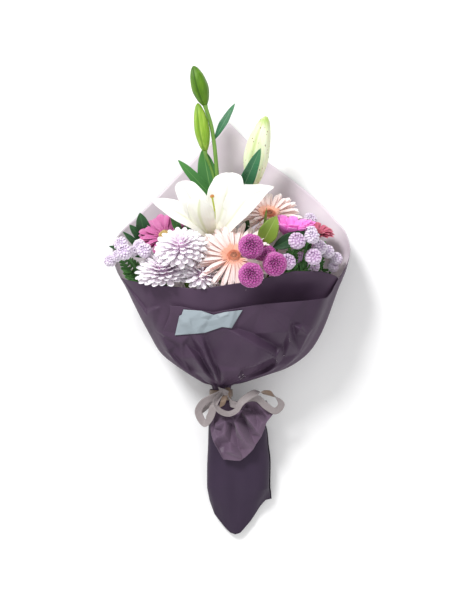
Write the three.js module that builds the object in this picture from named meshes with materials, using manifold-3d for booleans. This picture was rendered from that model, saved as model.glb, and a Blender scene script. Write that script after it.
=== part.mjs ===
// A hand-tied bouquet of mixed flowers in its paper wrapper, lying on its back.
// Millimetres. +Y runs from the cut stems to the blooms, +Z points up from the
// surface that the bouquet lies on, and X = 0 is the middle of the bouquet.
import * as THREE from 'three';
import { mergeVertices } from 'three/addons/utils/BufferGeometryUtils.js';
import Module from 'manifold-3d';

const wasm = await Module();
wasm.setup();

const { Vector3, Quaternion, MathUtils } = THREE;
const TURN = Math.PI * 2;
const v = (x, y, z) => new Vector3(x, y, z);

// ---------------------------------------------------------------- driving sizes
const GAP = 0.3; // between two pieces that touch
const PAPER = 0.8; // wrapper sheet
const RIBBON = 0.7;

// The tie: every stem passes through this ring of the bouquet.
const TIE = v(-6, -129, 28);
const TIE_LENGTH = 10;
const TIE_INNER = 10.9;
const TIE_OUTER = 12.1;
const STEM_PITCH = 4.3; // centre to centre of the stems inside the tie
// A stem's slot in the tie: its distance in pitches from the middle, and its angle.
const OUTER = 2;
const BETWEEN = Math.sqrt(3);
const STEM_RADIUS = 2;
const CUT_END = v(8, -268, 19); // middle of the cut stem ends
const CUT_SPREAD = 1.15;

// Wrapper outline at each height: left, right, front (top) and back (table) sides.
const WRAP_PROFILE = [
  { y: -141, left: -18.9, right: 6.9, front: 40.9, back: 15.1 },
  { y: -117, left: -18.9, right: 6.9, front: 40.9, back: 15.1 },
  { y: -110, left: -34, right: 27, front: 58, back: 7 },
  { y: -102, left: -47, right: 52, front: 72, back: 3 },
  { y: -92, left: -62, right: 80, front: 86, back: 0.4 },
  { y: -72, left: -86, right: 108, front: 104, back: 0.4 },
  { y: -47, left: -101, right: 125, front: 117, back: 0.4 },
  { y: 13, left: -132, right: 149, front: 138, back: 0.4 },
  { y: 62, left: -154, right: 165, front: 150, back: 0.4 },
  { y: 255, left: -154, right: 165, front: 150, back: 0.4 },
];
// Top edge of the sheet as it goes round: turn in degrees, height in mm.
// 90 is the front, 180 the left, 270 the back; past 360 it is the outer layer.
const WRAP_RIM = [
  [12, 27], [19, 31], [36, 37.6], [56, 37.7], [73, 28], [86, 22], [107, 14.2],
  [138, 21], [153, 25], [178, 31], [190, 75], [218, 115], [233, 147], [251, 196],
  [270, 250], [290, 194], [334, 111], [346, 95], [355, 78], [362, 66], [372, 44],
  [379, 29.7], [384, 13], [391, 4.7], [410, 0.6], [433, -3.2], [445, -8],
  [460, -14], [470, -11.5], [480, -4.5],
];
const WRAP_STEP = 12; // degrees between columns of the sheet
const WRAP_UPPER_ROWS = [0.33, 0.66, 1]; // shares of the way to the rim
const PLEATS = 10;
const PLEAT_DEPTH = [[-141, 0], [-117, 0], [-110, 1], [-92, 2.4], [-47, 1.8], [13, 0]];
const LAYER_GAP = 1.9;
const LAYER_SLIP = 0.8; // each layer out lies this much lower, per mm of its distance
const NECK_BOTTOM = -141;
const NECK_TOP = -117;
const NECK_SQUEEZE = 0.8; // the layers lie closer under the ribbon
const LAYER_STARTS = [300, 372]; // the layers part over these degrees
// The back of the cone is flattened: a high fullness and a low power make it flatter.
const BACK_FULLNESS = 1.05;
const BACK_POWER = 0.75;
const PLEATS_ABOVE = -0.55; // sine of the turn: the back has no pleats
// The pocket at the right: the outer layer bulges and the inner one is pressed in.
const BULGE = { depth: 9, rises: [376, 400], falls: [425, 462] };
const DENT = { depth: 5.4, rises: [20, 42], falls: [62, 96] };
const POCKET_HEIGHTS = [-80, 0];

// The hem of the sheet below the tie, from its left end to its right end.
const RUFFLE_FROM = 480;
const RUFFLE_TO = 332;
const RUFFLE_ROWS = [1, 0.66, 0.36, 0.14];
const RUFFLE_HEM = [
  [0, -6, -214, 52], [0.22, 10, -218, 53], [0.44, 27, -214, 53], [0.6, 48, -190, 51],
  [0.74, 57, -170, 50], [0.88, 65, -156, 47], [1, 56, -137, 44],
];
const RUFFLE_PLEATS = 4;
const RUFFLE_WAVE = 3;
const RUFFLE_RISE = 5;

// The free left edge of the outer layer hangs straight, so lower down it reaches
// further round the cone.
const FREE_EDGE = [430, 480]; // degrees
const FREE_EDGE_TURN = 16;
const FREE_EDGE_HEIGHTS = [-52, -4];

// Stem wrap: outline rows from its mouth under the tie to its pointed hem.
const STEM_WRAP_PROFILE = [
  { y: -144, left: -17.4, right: 5.4, front: 39.4, back: 16.6 },
  { y: -156, left: -21, right: 24, front: 44, back: 8 },
  { y: -170, left: -23, right: 50, front: 45, back: 0.4 },
  { y: -208, left: -24.5, right: 61, front: 43, back: 0.4 },
  { y: -238, left: -26, right: 62, front: 41, back: 0.4 },
  { y: -262, left: -25, right: 61, front: 38, back: 0.4 },
  { y: -300, left: -22, right: 57, front: 18, back: 0.4 },
];
const STEM_WRAP_STRAIGHT = -280; // below this the row is the hem
const STEM_WRAP_POINT = { x: 14.5, y: -324 };
const STEM_WRAP_BLUNT = 6;
const STEM_WRAP_SLOPE = 1.25;
const STEM_WRAP_FROM = 15;
const STEM_WRAP_TO = 399;
const STEM_WRAP_STEP = 24;
const STEM_WRAP_GAP = 3;

// Label strip: x from, x to, height at each, along its lower, middle and upper edge.
const LABEL_EDGES = [
  { x: [-65.7, 8.2], heights: [-44, -34] },
  { x: [-61, 15], heights: [-24, -25] },
  { x: [-54, 22], heights: [-10, -11] },
];
const LABEL_COLUMNS = 6;
const LABEL_LIFT = 1.5;
const LABEL_THICKNESS = 0.6;

// Ribbon: band round the tie, a knot, and loops as points [x, y, z] with the way
// that the ribbon's width runs there.
const RIBBON_INNER = 15.4;
const RIBBON_WIDTH = 11;
const KNOT = v(-1, -128, 47.2);
const KNOT_SIZE = v(8, 7, 4.6);
const BAND_SIDES = 24;
const LOOP_STEPS = 1.4; // steps of a loop for each of its points
const RIBBON_LOOPS = [
  [
    [-2, -125, 48.5, 0, 1, 0.2], [-17, -129, 53, 0, 1, 0.2], [-34, -137, 52, -0.6, 0.75, 0.3],
    [-38, -152, 50, -1, 0.1, 0.3], [-29, -165, 54, -0.2, -0.95, 0.3],
    [-21, -156, 60, 0.95, -0.2, 0.3], [-17, -143, 60, 0.95, 0, 0.3],
    [-6, -131, 49.5, 0.6, 0.6, 0.3],
  ],
  [
    [-5, -127, 49, -0.6, 0.3, 0.6], [-15, -138, 62, -0.9, 0, 0.45], [-9, -150, 66, -0.6, -0.6, 0.5],
    [5, -154, 67, 0, -0.9, 0.45], [17, -149, 67, 0.7, -0.6, 0.4], [25, -138, 67, 0.6, -0.75, 0.3],
    [36, -130, 67, 0.4, -0.85, 0.3], [50, -127, 65, 0, -0.95, 0.3], [66, -130, 61, -0.5, -0.8, 0.3],
    [74, -141, 58, -0.9, 0, 0.4], [66, -149, 57, 0, 0.9, 0.4], [54, -143, 58.5, 0.8, 0.5, 0.3],
    [42, -136, 58.5, 0.5, 0.8, 0.3], [28, -130, 57, 0.3, 0.9, 0.3], [3, -126, 49.5, 0.2, 0.9, 0.3],
  ],
];

const MESH_SLACK = 0.05;
const PETAL_HALF = 0.35; // half the thickness of a petal
const EYE_SIDES = 8;
const EYE_ROWS = [[0.9, 0], [1, 0.16], [0.82, 0.34], [0.42, 0.3]]; // shares of its radius
// Petals that meet a neighbour are cut back by these.
const TUBE_CLEARANCE = 0.7;
const BALL_CLEARANCE = 2.6;
const COPY_SHIFT = 0.4;
const CORNER_WAYS = [[1, 1, 1], [-1, -1, 1], [-1, 1, -1], [1, -1, -1]];
const GERBERA_FLOOR = 5; // the underside of a bloom's core lies this far below its place
const MUM_FLOOR = 5;
const PARTING_REACH = 70; // degrees
const BARE_UNDERSIDE = 0.1; // florets stop this share of the way down to the floor
const STEM_SIDES = 5;
const STEM_NECK = [26, 7]; // a bloom's stem runs straight behind it over this length
const FORK_RADIUS = 1.7;
const STALK_RADIUS = 1.1;
const BRANCH_DROP = 16; // a head's own stalk runs this far straight behind it
// Share of the way along a leaf, and its width there as a share of the widest.
const LEAF_SHARES = [[0, 0.12], [0.2, 0.7], [0.45, 1], [0.75, 0.72], [1, 0.04]];
const LOBED_SHARES = [
  [0, 0.12], [0.2, 0.5], [0.32, 0.3], [0.5, 1], [0.62, 0.5], [0.78, 0.7], [1, 0.05],
];

// ------------------------------------------------------------------- mesh tools
// A closed surface that grows ring by ring. Rings run anticlockwise seen from
// the end that they grow towards.
class Skin {
  constructor() {
    this.points = [];
    this.faces = [];
  }

  add(point) {
    this.points.push(point.x, point.y, point.z);
    return this.points.length / 3 - 1;
  }

  ring(points) {
    return points.map((point) => this.add(point));
  }

  quad(a, b, c, d) {
    this.faces.push(a, b, c, a, c, d);
  }

  band(lower, upper) {
    lower.forEach((start, i) => {
      const j = (i + 1) % lower.length;
      this.quad(start, lower[j], upper[j], upper[i]);
    });
  }

  fan(ring, apex) {
    ring.forEach((start, i) => this.faces.push(start, ring[(i + 1) % ring.length], apex));
  }

  cap(ring) {
    for (let i = 1; i < ring.length - 1; i += 1) {
      this.faces.push(ring[0], ring[i], ring[i + 1]);
    }
  }

  // A petal that grows from four points of the surface and ends in a point.
  petal(root, stations, tip) {
    let ring = root;
    for (const station of stations) {
      const next = this.ring(station);
      this.band(ring, next);
      ring = next;
    }
    this.fan(ring, this.add(tip));
  }

  geometry() {
    const geometry = new THREE.BufferGeometry();
    geometry.setAttribute('position', new THREE.Float32BufferAttribute(this.points, 3));
    geometry.setIndex(this.faces);
    return geometry;
  }
}

function toSolid(geometry) {
  const bare = geometry.clone();
  bare.deleteAttribute('normal');
  bare.deleteAttribute('uv');
  const merged = mergeVertices(bare, 1e-4);
  return new wasm.Manifold(new wasm.Mesh({
    numProp: 3,
    vertProperties: new Float32Array(merged.attributes.position.array),
    triVerts: new Uint32Array(merged.index.array),
  }));
}

// `slack` is how far the simpler mesh may lie off the full one.
function toGeometry(solid, slack = MESH_SLACK) {
  const mesh = solid.asOriginal().simplify(slack).getMesh();
  const geometry = new THREE.BufferGeometry();
  geometry.setAttribute('position', new THREE.Float32BufferAttribute(mesh.vertProperties, 3));
  geometry.setIndex([...mesh.triVerts]);
  return geometry;
}

// Joins pieces that grow out of one another into one closed body.
function fuse(geometries) {
  const solids = geometries.map(toSolid);
  return toGeometry(wasm.Manifold.union(solids));
}

// A tube through the given points, with a radius at each of them.
function tube(points, radii, sides) {
  const skin = new Skin();
  const side = v(1, 0, 0.2);
  const rings = points.map((point, i) => {
    const ahead = points[Math.min(i + 1, points.length - 1)];
    const behind = points[Math.max(i - 1, 0)];
    const tangent = ahead.clone().sub(behind).normalize();
    side.addScaledVector(tangent, -side.dot(tangent)).normalize();
    const up = tangent.clone().cross(side);
    const ring = [];
    for (let k = 0; k < sides; k += 1) {
      const angle = (TURN * k) / sides;
      const spoke = side.clone().multiplyScalar(Math.cos(angle) * radii[i]);
      ring.push(point.clone().add(spoke).addScaledVector(up, Math.sin(angle) * radii[i]));
    }
    return skin.ring(ring);
  });
  for (let i = 1; i < rings.length; i += 1) {
    skin.band(rings[i - 1], rings[i]);
  }
  skin.cap([...rings[0]].reverse());
  skin.cap(rings[rings.length - 1]);
  return skin.geometry();
}

// A thin solid on a grid of points. Both faces are split alike. cell(row, column)
// says which cells of the grid hold material.
function sheetSolid(grid, thickness, cell = () => true) {
  const rows = grid.length;
  const columns = grid[0].length;
  const at = (r, c) => grid[MathUtils.clamp(r, 0, rows - 1)][MathUtils.clamp(c, 0, columns - 1)];
  const has = (r, c) => r >= 0 && c >= 0 && r < rows - 1 && c < columns - 1 && cell(r, c);
  const skin = new Skin();
  const upper = new Map();
  const lower = new Map();
  const normalAt = (r, c) => {
    const sum = v(0, 0, 0);
    for (const [dr, dc] of [[-1, -1], [-1, 0], [0, -1], [0, 0]]) {
      if (has(r + dr, c + dc)) {
        const a = at(r + dr, c + dc + 1).clone().sub(at(r + dr + 1, c + dc));
        const b = at(r + dr + 1, c + dc + 1).clone().sub(at(r + dr, c + dc));
        sum.add(a.cross(b).normalize());
      }
    }
    return sum.normalize();
  };
  const point = (r, c) => {
    const key = r * columns + c;
    if (!upper.has(key)) {
      const normal = normalAt(r, c);
      upper.set(key, skin.add(at(r, c).clone().addScaledVector(normal, thickness / 2)));
      lower.set(key, skin.add(at(r, c).clone().addScaledVector(normal, -thickness / 2)));
    }
    return key;
  };
  for (let r = 0; r < rows - 1; r += 1) {
    for (let c = 0; c < columns - 1; c += 1) {
      if (has(r, c)) {
        const corners = [point(r, c), point(r, c + 1), point(r + 1, c + 1), point(r + 1, c)];
        const beyond = [has(r - 1, c), has(r, c + 1), has(r + 1, c), has(r, c - 1)];
        skin.quad(...corners.map((key) => upper.get(key)));
        const [a, b, d, e] = corners.map((key) => lower.get(key));
        skin.faces.push(a, d, b, a, e, d);
        corners.forEach((from, i) => {
          const to = corners[(i + 1) % 4];
          if (!beyond[i]) {
            skin.quad(lower.get(from), lower.get(to), upper.get(to), upper.get(from));
          }
        });
      }
    }
  }
  return skin.geometry();
}

// A leaf or petal along a centre line. Its upper face looks towards `look`, its
// edges are raised by `cup` times their distance from the midrib.
function blade({ line, halfWidths, look, cup = 0.25, columns = 2, thickness = 0.8 }) {
  const grid = line.map((point, i) => {
    const ahead = line[Math.min(i + 1, line.length - 1)];
    const behind = line[Math.max(i - 1, 0)];
    const tangent = ahead.clone().sub(behind).normalize();
    const side = tangent.clone().cross(look).normalize();
    const normal = side.clone().cross(tangent);
    const row = [];
    for (let k = 0; k <= columns; k += 1) {
      const share = (2 * k) / columns - 1;
      const reach = share * halfWidths[i];
      const lift = cup * halfWidths[i] * share * share;
      row.push(point.clone().addScaledVector(side, reach).addScaledVector(normal, lift));
    }
    return row;
  });
  return sheetSolid(grid, thickness);
}

// Reads a value off a list of [position, value] steps.
function along(steps, position, column = 1) {
  const last = steps.length - 1;
  if (position <= steps[0][0]) {
    return steps[0][column];
  }
  if (position >= steps[last][0]) {
    return steps[last][column];
  }
  const i = steps.findIndex((step) => step[0] > position) - 1;
  const share = (position - steps[i][0]) / (steps[i + 1][0] - steps[i][0]);
  return MathUtils.lerp(steps[i][column], steps[i + 1][column], share);
}

// A smooth line through a few points.
function curve(points, steps) {
  return new THREE.CatmullRomCurve3(points, false, 'centripetal').getPoints(steps);
}

// --------------------------------------------------------------------- scene
const bouquet = new THREE.Group();
bouquet.name = 'bouquet';

const material = (color, roughness = 0.6, metalness = 0) => (
  new THREE.MeshStandardMaterial({ color, roughness, metalness })
);

function piece(name, geometry, look, parent = bouquet) {
  const mesh = new THREE.Mesh(geometry, look);
  mesh.name = name;
  mesh.userData = { ...geometry.userData };
  parent.add(mesh);
  return mesh;
}

// A group at a bloom's place whose +Z looks where the bloom faces.
function bloomGroup(at, face) {
  const group = new THREE.Group();
  group.position.copy(at);
  group.quaternion.copy(new Quaternion().setFromUnitVectors(v(0, 0, 1), face));
  bouquet.add(group);
  return group;
}

const LOOKS = {
  plum: () => material('#5d4d5f', 0.42),
  satin: () => material('#463a4a', 0.4),
  label: () => material('#a9b4ba', 0.5),
  ribbon: () => material('#b5a5ab', 0.55),
  string: () => material('#8c6d48', 0.8),
  stem: () => material('#6f9c3c', 0.55),
  leaf: () => material('#3d7a2e', 0.45),
  darkLeaf: () => material('#234a24', 0.45),
  brightLeaf: () => material('#7fa52c', 0.45),
  bud: () => material('#6f9a2a', 0.5),
  paleBud: () => material('#bfcc90', 0.5),
  lily: () => material('#fbfaf3', 0.55),
  pistil: () => material('#b6a33c', 0.55),
  peach: () => material('#f9d3c2', 0.6),
  peachEye: () => material('#e9a77c', 0.8),
  pink: () => material('#ee6fd0', 0.6),
  yellowEye: () => material('#c9b45a', 0.8),
  coral: () => material('#dd5f80', 0.6),
  whiteMum: () => material('#f5ebfa', 0.6),
  magenta: () => material('#b04aa8', 0.65),
  lilac: () => material('#cfa9d8', 0.65),
  paleLilac: () => material('#ddd3e6', 0.65),
};

// --------------------------------------------------------------------- wrapper
function wrapOutline(height) {
  const steps = (key) => WRAP_PROFILE.map((row) => [row.y, row[key]]);
  const [left, right, front, back] = ['left', 'right', 'front', 'back'].map(
    (key) => along(steps(key), height),
  );
  return {
    middle: (left + right) / 2,
    half: (right - left) / 2,
    level: (front + back) / 2,
    depth: (front - back) / 2,
  };
}

// A point of the wrapper's spiral surface, `lift` mm off its middle.
function wrapPoint(turn, height, lift = 0) {
  const hang = MathUtils.smoothstep(turn, ...FREE_EDGE);
  const lowered = 1 - MathUtils.smoothstep(height, ...FREE_EDGE_HEIGHTS);
  const angle = MathUtils.degToRad(turn + FREE_EDGE_TURN * hang * lowered);
  const outline = wrapOutline(height);
  const c = Math.cos(angle);
  const s = Math.sin(angle);
  // The back lies flat on the table, the front is round.
  const rise = s >= 0 ? s : -Math.min(1, BACK_FULLNESS * Math.abs(s) ** BACK_POWER);
  const pleatSize = s < PLEATS_ABOVE ? 0 : along(PLEAT_DEPTH, height);
  const pleat = pleatSize * Math.cos(angle * PLEATS);
  const squeeze = height <= NECK_TOP ? NECK_SQUEEZE : 1;
  const layer = LAYER_GAP * squeeze * MathUtils.smoothstep(turn, ...LAYER_STARTS);
  const bulge = MathUtils.smoothstep(turn, ...BULGE.rises)
    * (1 - MathUtils.smoothstep(turn, ...BULGE.falls));
  const dent = MathUtils.smoothstep(turn, ...DENT.rises)
    * (1 - MathUtils.smoothstep(turn, ...DENT.falls));
  const pocket = (BULGE.depth * bulge - DENT.depth * dent)
    * MathUtils.smoothstep(height, ...POCKET_HEIGHTS);
  const out = pleat + layer + pocket + lift;
  return v(
    outline.middle + outline.half * c + out * c,
    height - (height > NECK_BOTTOM ? LAYER_SLIP * (layer + lift) : 0),
    Math.max(PAPER / 2, outline.level + outline.depth * rise + out * Math.max(s, 0)),
  );
}

function rufflePoint(turn, share) {
  const place = (RUFFLE_FROM - turn) / (RUFFLE_FROM - RUFFLE_TO);
  const start = wrapPoint(turn, -140);
  const [x, y, z] = [1, 2, 3].map((column) => along(RUFFLE_HEM, place, column));
  const wave = RUFFLE_WAVE * Math.cos(TURN * RUFFLE_PLEATS * place) * Math.min(1, share * 2.5);
  const point = start.lerp(v(x, y, z), share);
  const arch = RUFFLE_RISE * Math.sin(Math.PI * Math.min(1, share * 1.3));
  point.z += wave + arch;
  return point;
}

function wrapSheet() {
  const first = WRAP_RIM[0][0];
  const last = RUFFLE_FROM;
  const count = Math.round((last - first) / WRAP_STEP);
  const turns = [];
  for (let k = 0; k <= count; k += 1) {
    turns.push(MathUtils.lerp(first, last, k / count));
  }
  const lowHeights = WRAP_PROFILE.map((row) => row.y).filter((y) => y <= -47);
  const topLow = lowHeights[lowHeights.length - 1];
  const grid = RUFFLE_ROWS.map((share) => turns.map((turn) => rufflePoint(turn, share)));
  for (const height of lowHeights) {
    grid.push(turns.map((turn) => wrapPoint(turn, height)));
  }
  for (const share of WRAP_UPPER_ROWS) {
    grid.push(turns.map((turn) => (
      wrapPoint(turn, MathUtils.lerp(topLow, along(WRAP_RIM, turn), share))
    )));
  }
  const isRuffle = (column) => turns[column] > RUFFLE_TO;
  return sheetSolid(grid, PAPER, (r, c) => r >= RUFFLE_ROWS.length || isRuffle(c));
}

piece('wrap_sheet', wrapSheet(), LOOKS.plum());

// The stem wrap: a second sheet rolled round the stem ends, its hem a blunt V.
function stemWrapPoint(turn, row) {
  const angle = MathUtils.degToRad(turn);
  const outline = STEM_WRAP_PROFILE[row];
  const middle = (outline.left + outline.right) / 2;
  const level = (outline.front + outline.back) / 2;
  const out = STEM_WRAP_GAP * MathUtils.smoothstep(turn, 330, 372);
  const x = middle + ((outline.right - outline.left) / 2 + out) * Math.cos(angle);
  const z = level + ((outline.front - outline.back) / 2 + out * 0.5) * Math.sin(angle);
  const fromPoint = Math.abs(x - STEM_WRAP_POINT.x);
  const hem = STEM_WRAP_POINT.y + STEM_WRAP_SLOPE * Math.max(0, fromPoint - STEM_WRAP_BLUNT);
  const y = outline.y < STEM_WRAP_STRAIGHT ? hem : outline.y;
  return v(x, y, Math.max(PAPER / 2, z));
}

function stemWrap() {
  const grid = [];
  for (let row = STEM_WRAP_PROFILE.length - 1; row >= 0; row -= 1) {
    const line = [];
    for (let turn = STEM_WRAP_FROM; turn <= STEM_WRAP_TO; turn += STEM_WRAP_STEP) {
      line.push(stemWrapPoint(turn, row));
    }
    grid.push(line);
  }
  return sheetSolid(grid, PAPER);
}

piece('stem_wrap', stemWrap(), LOOKS.satin());

// The point of the outer layer's front at a given x, `lift` mm off it.
function wrapAbove(x, height, lift) {
  let [low, high] = [400, RUFFLE_FROM];
  for (let i = 0; i < 20; i += 1) {
    const middle = (low + high) / 2;
    if (wrapPoint(middle, height).x > x) {
      low = middle;
    } else {
      high = middle;
    }
  }
  return wrapPoint(low, height, lift);
}

// The bare silvery strip that holds the outer layer down.
function label() {
  const grid = LABEL_EDGES.map((edge) => {
    const row = [];
    for (let k = 0; k <= LABEL_COLUMNS; k += 1) {
      const share = k / LABEL_COLUMNS;
      const height = MathUtils.lerp(...edge.heights, share);
      row.push(wrapAbove(MathUtils.lerp(...edge.x, share), height, LABEL_LIFT));
    }
    return row;
  });
  return sheetSolid(grid, LABEL_THICKNESS);
}

piece('label_strip', label(), LOOKS.label());

function ring(inner, outer, length, segments) {
  const half = length / 2;
  const profile = [
    new THREE.Vector2(inner, -half), new THREE.Vector2(outer, -half),
    new THREE.Vector2(outer, half), new THREE.Vector2(inner, half),
    new THREE.Vector2(inner, -half),
  ];
  return new THREE.LatheGeometry(profile, segments);
}

const string = piece('tie_string', ring(TIE_INNER, TIE_OUTER, TIE_LENGTH, 12), LOOKS.string());
string.position.copy(TIE);

// A ribbon strip along a smooth line. Each point is followed by the way that the
// ribbon's width runs there.
function strip(points) {
  const steps = Math.round(points.length * LOOP_STEPS);
  const line = curve(points.map((p) => v(...p.slice(0, 3))), steps);
  const ways = curve(points.map((p) => v(...p.slice(3))), steps);
  const halves = ways.map((way) => way.normalize().multiplyScalar(RIBBON_WIDTH / 2));
  return sheetSolid([
    line.map((p, i) => p.clone().sub(halves[i])),
    line.map((p, i) => p.clone().add(halves[i])),
  ], RIBBON);
}

function ribbon() {
  const band = ring(RIBBON_INNER, RIBBON_INNER + RIBBON, RIBBON_WIDTH, BAND_SIDES);
  band.translate(...TIE);
  const knot = new THREE.IcosahedronGeometry(1, 1);
  knot.scale(...KNOT_SIZE);
  knot.translate(...KNOT);
  return fuse([band, knot, ...RIBBON_LOOPS.map(strip)]);
}

piece('ribbon', ribbon(), LOOKS.ribbon());

// ----------------------------------------------------------------- bloom shapes
// A core of stacked rings of faces. A petal grows from every face, and each ring
// is turned half a petal against the one below.
// Petals can be pushed aside, as far as `parting.by` degrees, round a stalk that
// stands between them.
function rosette({ count, rows, bands, top, parting, scale = 1, wander = 0.05, seed = 1 }) {
  const skin = new Skin();
  const random = seededRandom(seed);
  const rings = rows.map(([radius, height], k) => {
    const points = [];
    for (let i = 0; i < count; i += 1) {
      const angle = (TURN * (i + k / 2)) / count;
      const reach = radius * scale;
      points.push(v(Math.cos(angle) * reach, Math.sin(angle) * reach, height * scale));
    }
    return { points, ids: skin.ring(points) };
  });
  skin.cap([...rings[0].ids].reverse());
  bands.forEach((band, k) => {
    for (let i = 0; i < count; i += 1) {
      const j = (i + 1) % count;
      const corners = [[k, i], [k, j], [k + 1, j], [k + 1, i]];
      const root = corners.map(([r, c]) => rings[r].ids[c]);
      const middle = v(0, 0, 0);
      corners.forEach(([r, c]) => middle.addScaledVector(rings[r].points[c], 0.25));
      const angle = partedAngle((TURN * (i + 0.5 + (k + 0.5) / 2)) / count, parting);
      const outward = v(Math.cos(angle), Math.sin(angle), 0);
      const across = v(-Math.sin(angle), Math.cos(angle), 0);
      const rise = MathUtils.degToRad(band.rise + wander * 60 * (random() - 0.5));
      const length = band.length * scale * (1 + wander * (random() - 0.5) * 2);
      const forward = outward.clone().multiplyScalar(Math.cos(rise)).setZ(Math.sin(rise));
      const normal = forward.clone().cross(across);
      const place = (share, bend) => middle.clone()
        .addScaledVector(forward, length * share)
        .addScaledVector(normal, -band.droop * scale * bend);
      const stations = band.stations.map(([share, half]) => {
        const centre = place(share, share * share);
        const [low, high] = [-PETAL_HALF, PETAL_HALF];
        const width = half * scale;
        return [[-width, low], [width, low], [width, high], [-width, high]].map(([w, n]) => (
          centre.clone().addScaledVector(across, w).addScaledVector(normal, n)
        ));
      });
      skin.petal(root, stations, place(1, 1));
    }
  });
  const crown = rings[rings.length - 1].ids;
  if (top === undefined) {
    skin.cap(crown);
  } else {
    skin.fan(crown, skin.add(v(0, 0, top * scale)));
  }
  return skin.geometry();
}

function partedAngle(angle, parting) {
  if (!parting) {
    return angle;
  }
  const away = MathUtils.euclideanModulo(
    MathUtils.radToDeg(angle) - parting.at + 180,
    360,
  ) - 180;
  const push = parting.by * Math.sign(away) * Math.exp(-Math.abs(away) / PARTING_REACH);
  return angle + MathUtils.degToRad(push);
}

// A ball of short florets, a little flattened, with a dimple at its top and a
// flat underside at -floor.
function button({ radius, detail, floor, raise, squash = 0.82, dimple = 0.2 }) {
  const ball = new THREE.IcosahedronGeometry(1, detail);
  ball.deleteAttribute('normal');
  ball.deleteAttribute('uv');
  const merged = mergeVertices(ball, 1e-4);
  const from = merged.attributes.position;
  const skin = new Skin();
  const place = (direction, extra) => {
    const polar = Math.acos(MathUtils.clamp(direction.z, -1, 1));
    const reach = radius * (1 - dimple * Math.exp(-((polar / 0.45) ** 2))) + extra;
    const point = direction.clone().multiplyScalar(reach);
    return v(point.x, point.y, Math.max(-floor, point.z * squash));
  };
  const directions = [];
  for (let i = 0; i < from.count; i += 1) {
    directions.push(new Vector3().fromBufferAttribute(from, i).normalize());
    skin.add(place(directions[i], 0));
  }
  const { array } = merged.index;
  for (let f = 0; f < array.length; f += 3) {
    const face = [array[f], array[f + 1], array[f + 2]];
    const middle = v(0, 0, 0);
    face.forEach((id) => middle.add(directions[id]));
    middle.normalize();
    if (middle.z * radius * squash > -floor * BARE_UNDERSIDE) {
      skin.fan(face, skin.add(place(middle, raise)));
    } else {
      skin.faces.push(...face);
    }
  }
  return toGeometry(toSolid(skin.geometry()));
}

function seededRandom(seed) {
  let state = seed * 7919 + 13;
  return () => {
    state = (state * 16807) % 2147483647;
    return state / 2147483647;
  };
}

// The flat disc of tiny florets in the middle of a gerbera.
function gerberaEye(radius) {
  const skin = new Skin();
  const rings = EYE_ROWS.map(([share, height], k) => {
    const points = [];
    for (let i = 0; i < EYE_SIDES; i += 1) {
      const angle = (TURN * (i + k / 2)) / EYE_SIDES;
      const bump = k > 1 && i % 2 ? 0.1 : 0;
      const reach = radius * share;
      points.push(v(Math.cos(angle) * reach, Math.sin(angle) * reach, radius * (height + bump)));
    }
    return skin.ring(points);
  });
  for (let k = 1; k < rings.length; k += 1) {
    skin.band(rings[k - 1], rings[k]);
  }
  skin.cap([...rings[0]].reverse());
  skin.fan(rings[rings.length - 1], skin.add(v(0, 0, radius * 0.18)));
  return skin.geometry();
}

// ---------------------------------------------------------------------- stems
function slotAt([pitches, angle]) {
  const turn = MathUtils.degToRad(angle);
  return v(Math.cos(turn), 0, Math.sin(turn)).multiplyScalar(pitches * STEM_PITCH);
}

// The buried part of every stem: cut end, then straight through the tie.
function stemFoot(slot) {
  const offset = slotAt(slot);
  return [
    CUT_END.clone().addScaledVector(offset, CUT_SPREAD),
    TIE.clone().add(offset).setY(TIE.y - TIE_LENGTH),
    TIE.clone().add(offset).setY(TIE.y + TIE_LENGTH),
  ];
}

const unit = (list) => v(...list).normalize();

// A stem that carries one bloom. Its top flares into a small green cup.
function singleStem(slot, at, face, floor, cup) {
  const seat = at.clone().addScaledVector(face, -(floor + GAP));
  const points = [
    ...stemFoot(slot),
    ...STEM_NECK.map((distance) => seat.clone().addScaledVector(face, -distance)),
    seat,
  ];
  const radii = points.map(() => STEM_RADIUS);
  radii[radii.length - 1] = cup;
  return tube(points, radii, STEM_SIDES);
}

// A stem that forks: a thin stalk runs to each head, and leaves may grow from it.
function branchedStem(slot, fork, heads, leaves = []) {
  const foot = stemFoot(slot);
  const last = foot[foot.length - 1];
  const radii = [...foot.map(() => STEM_RADIUS), FORK_RADIUS, FORK_RADIUS];
  const tubes = [{ line: [...foot, last.clone().lerp(fork, 0.9), fork], radii }];
  for (const { at, face, floor, cup } of heads) {
    const seat = at.clone().addScaledVector(face, -(floor + GAP));
    const below = seat.clone().addScaledVector(face, -BRANCH_DROP);
    tubes.push({
      line: [last.clone().lerp(fork, 0.93), below, seat],
      radii: [STALK_RADIUS, STALK_RADIUS, cup],
    });
  }
  const parts = tubes.map((part) => tube(part.line, part.radii, STEM_SIDES));
  const geometry = fuse([...parts, ...leaves.map(leafBlade)]);
  geometry.userData = { tubes };
  return geometry;
}

function leafBlade({ from, to, half, sag = 3, look = [0, 0.3, 1], rows = LEAF_SHARES, cup = 0.25 }) {
  const start = v(...from);
  const end = v(...to);
  const line = rows.map(([share]) => (
    start.clone().lerp(end, share).add(v(0, 0, sag * Math.sin(Math.PI * share)))
  ));
  const halfWidths = rows.map(([, width]) => Math.max(0.5, half * width));
  return blade({ line, halfWidths, look: unit(look), cup });
}

// ------------------------------------------------------------------------ lily
const LILY_BASE = v(-15, 78, 88);
const LILY_FACE = unit([-0.2, 0.74, 0.64]);
const LILY_THROAT = 12;
const LILY_STEPS = 5;
const STALK_RUN = 6; // the last straight stretch of the stalk of a lily's bud or bloom
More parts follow.
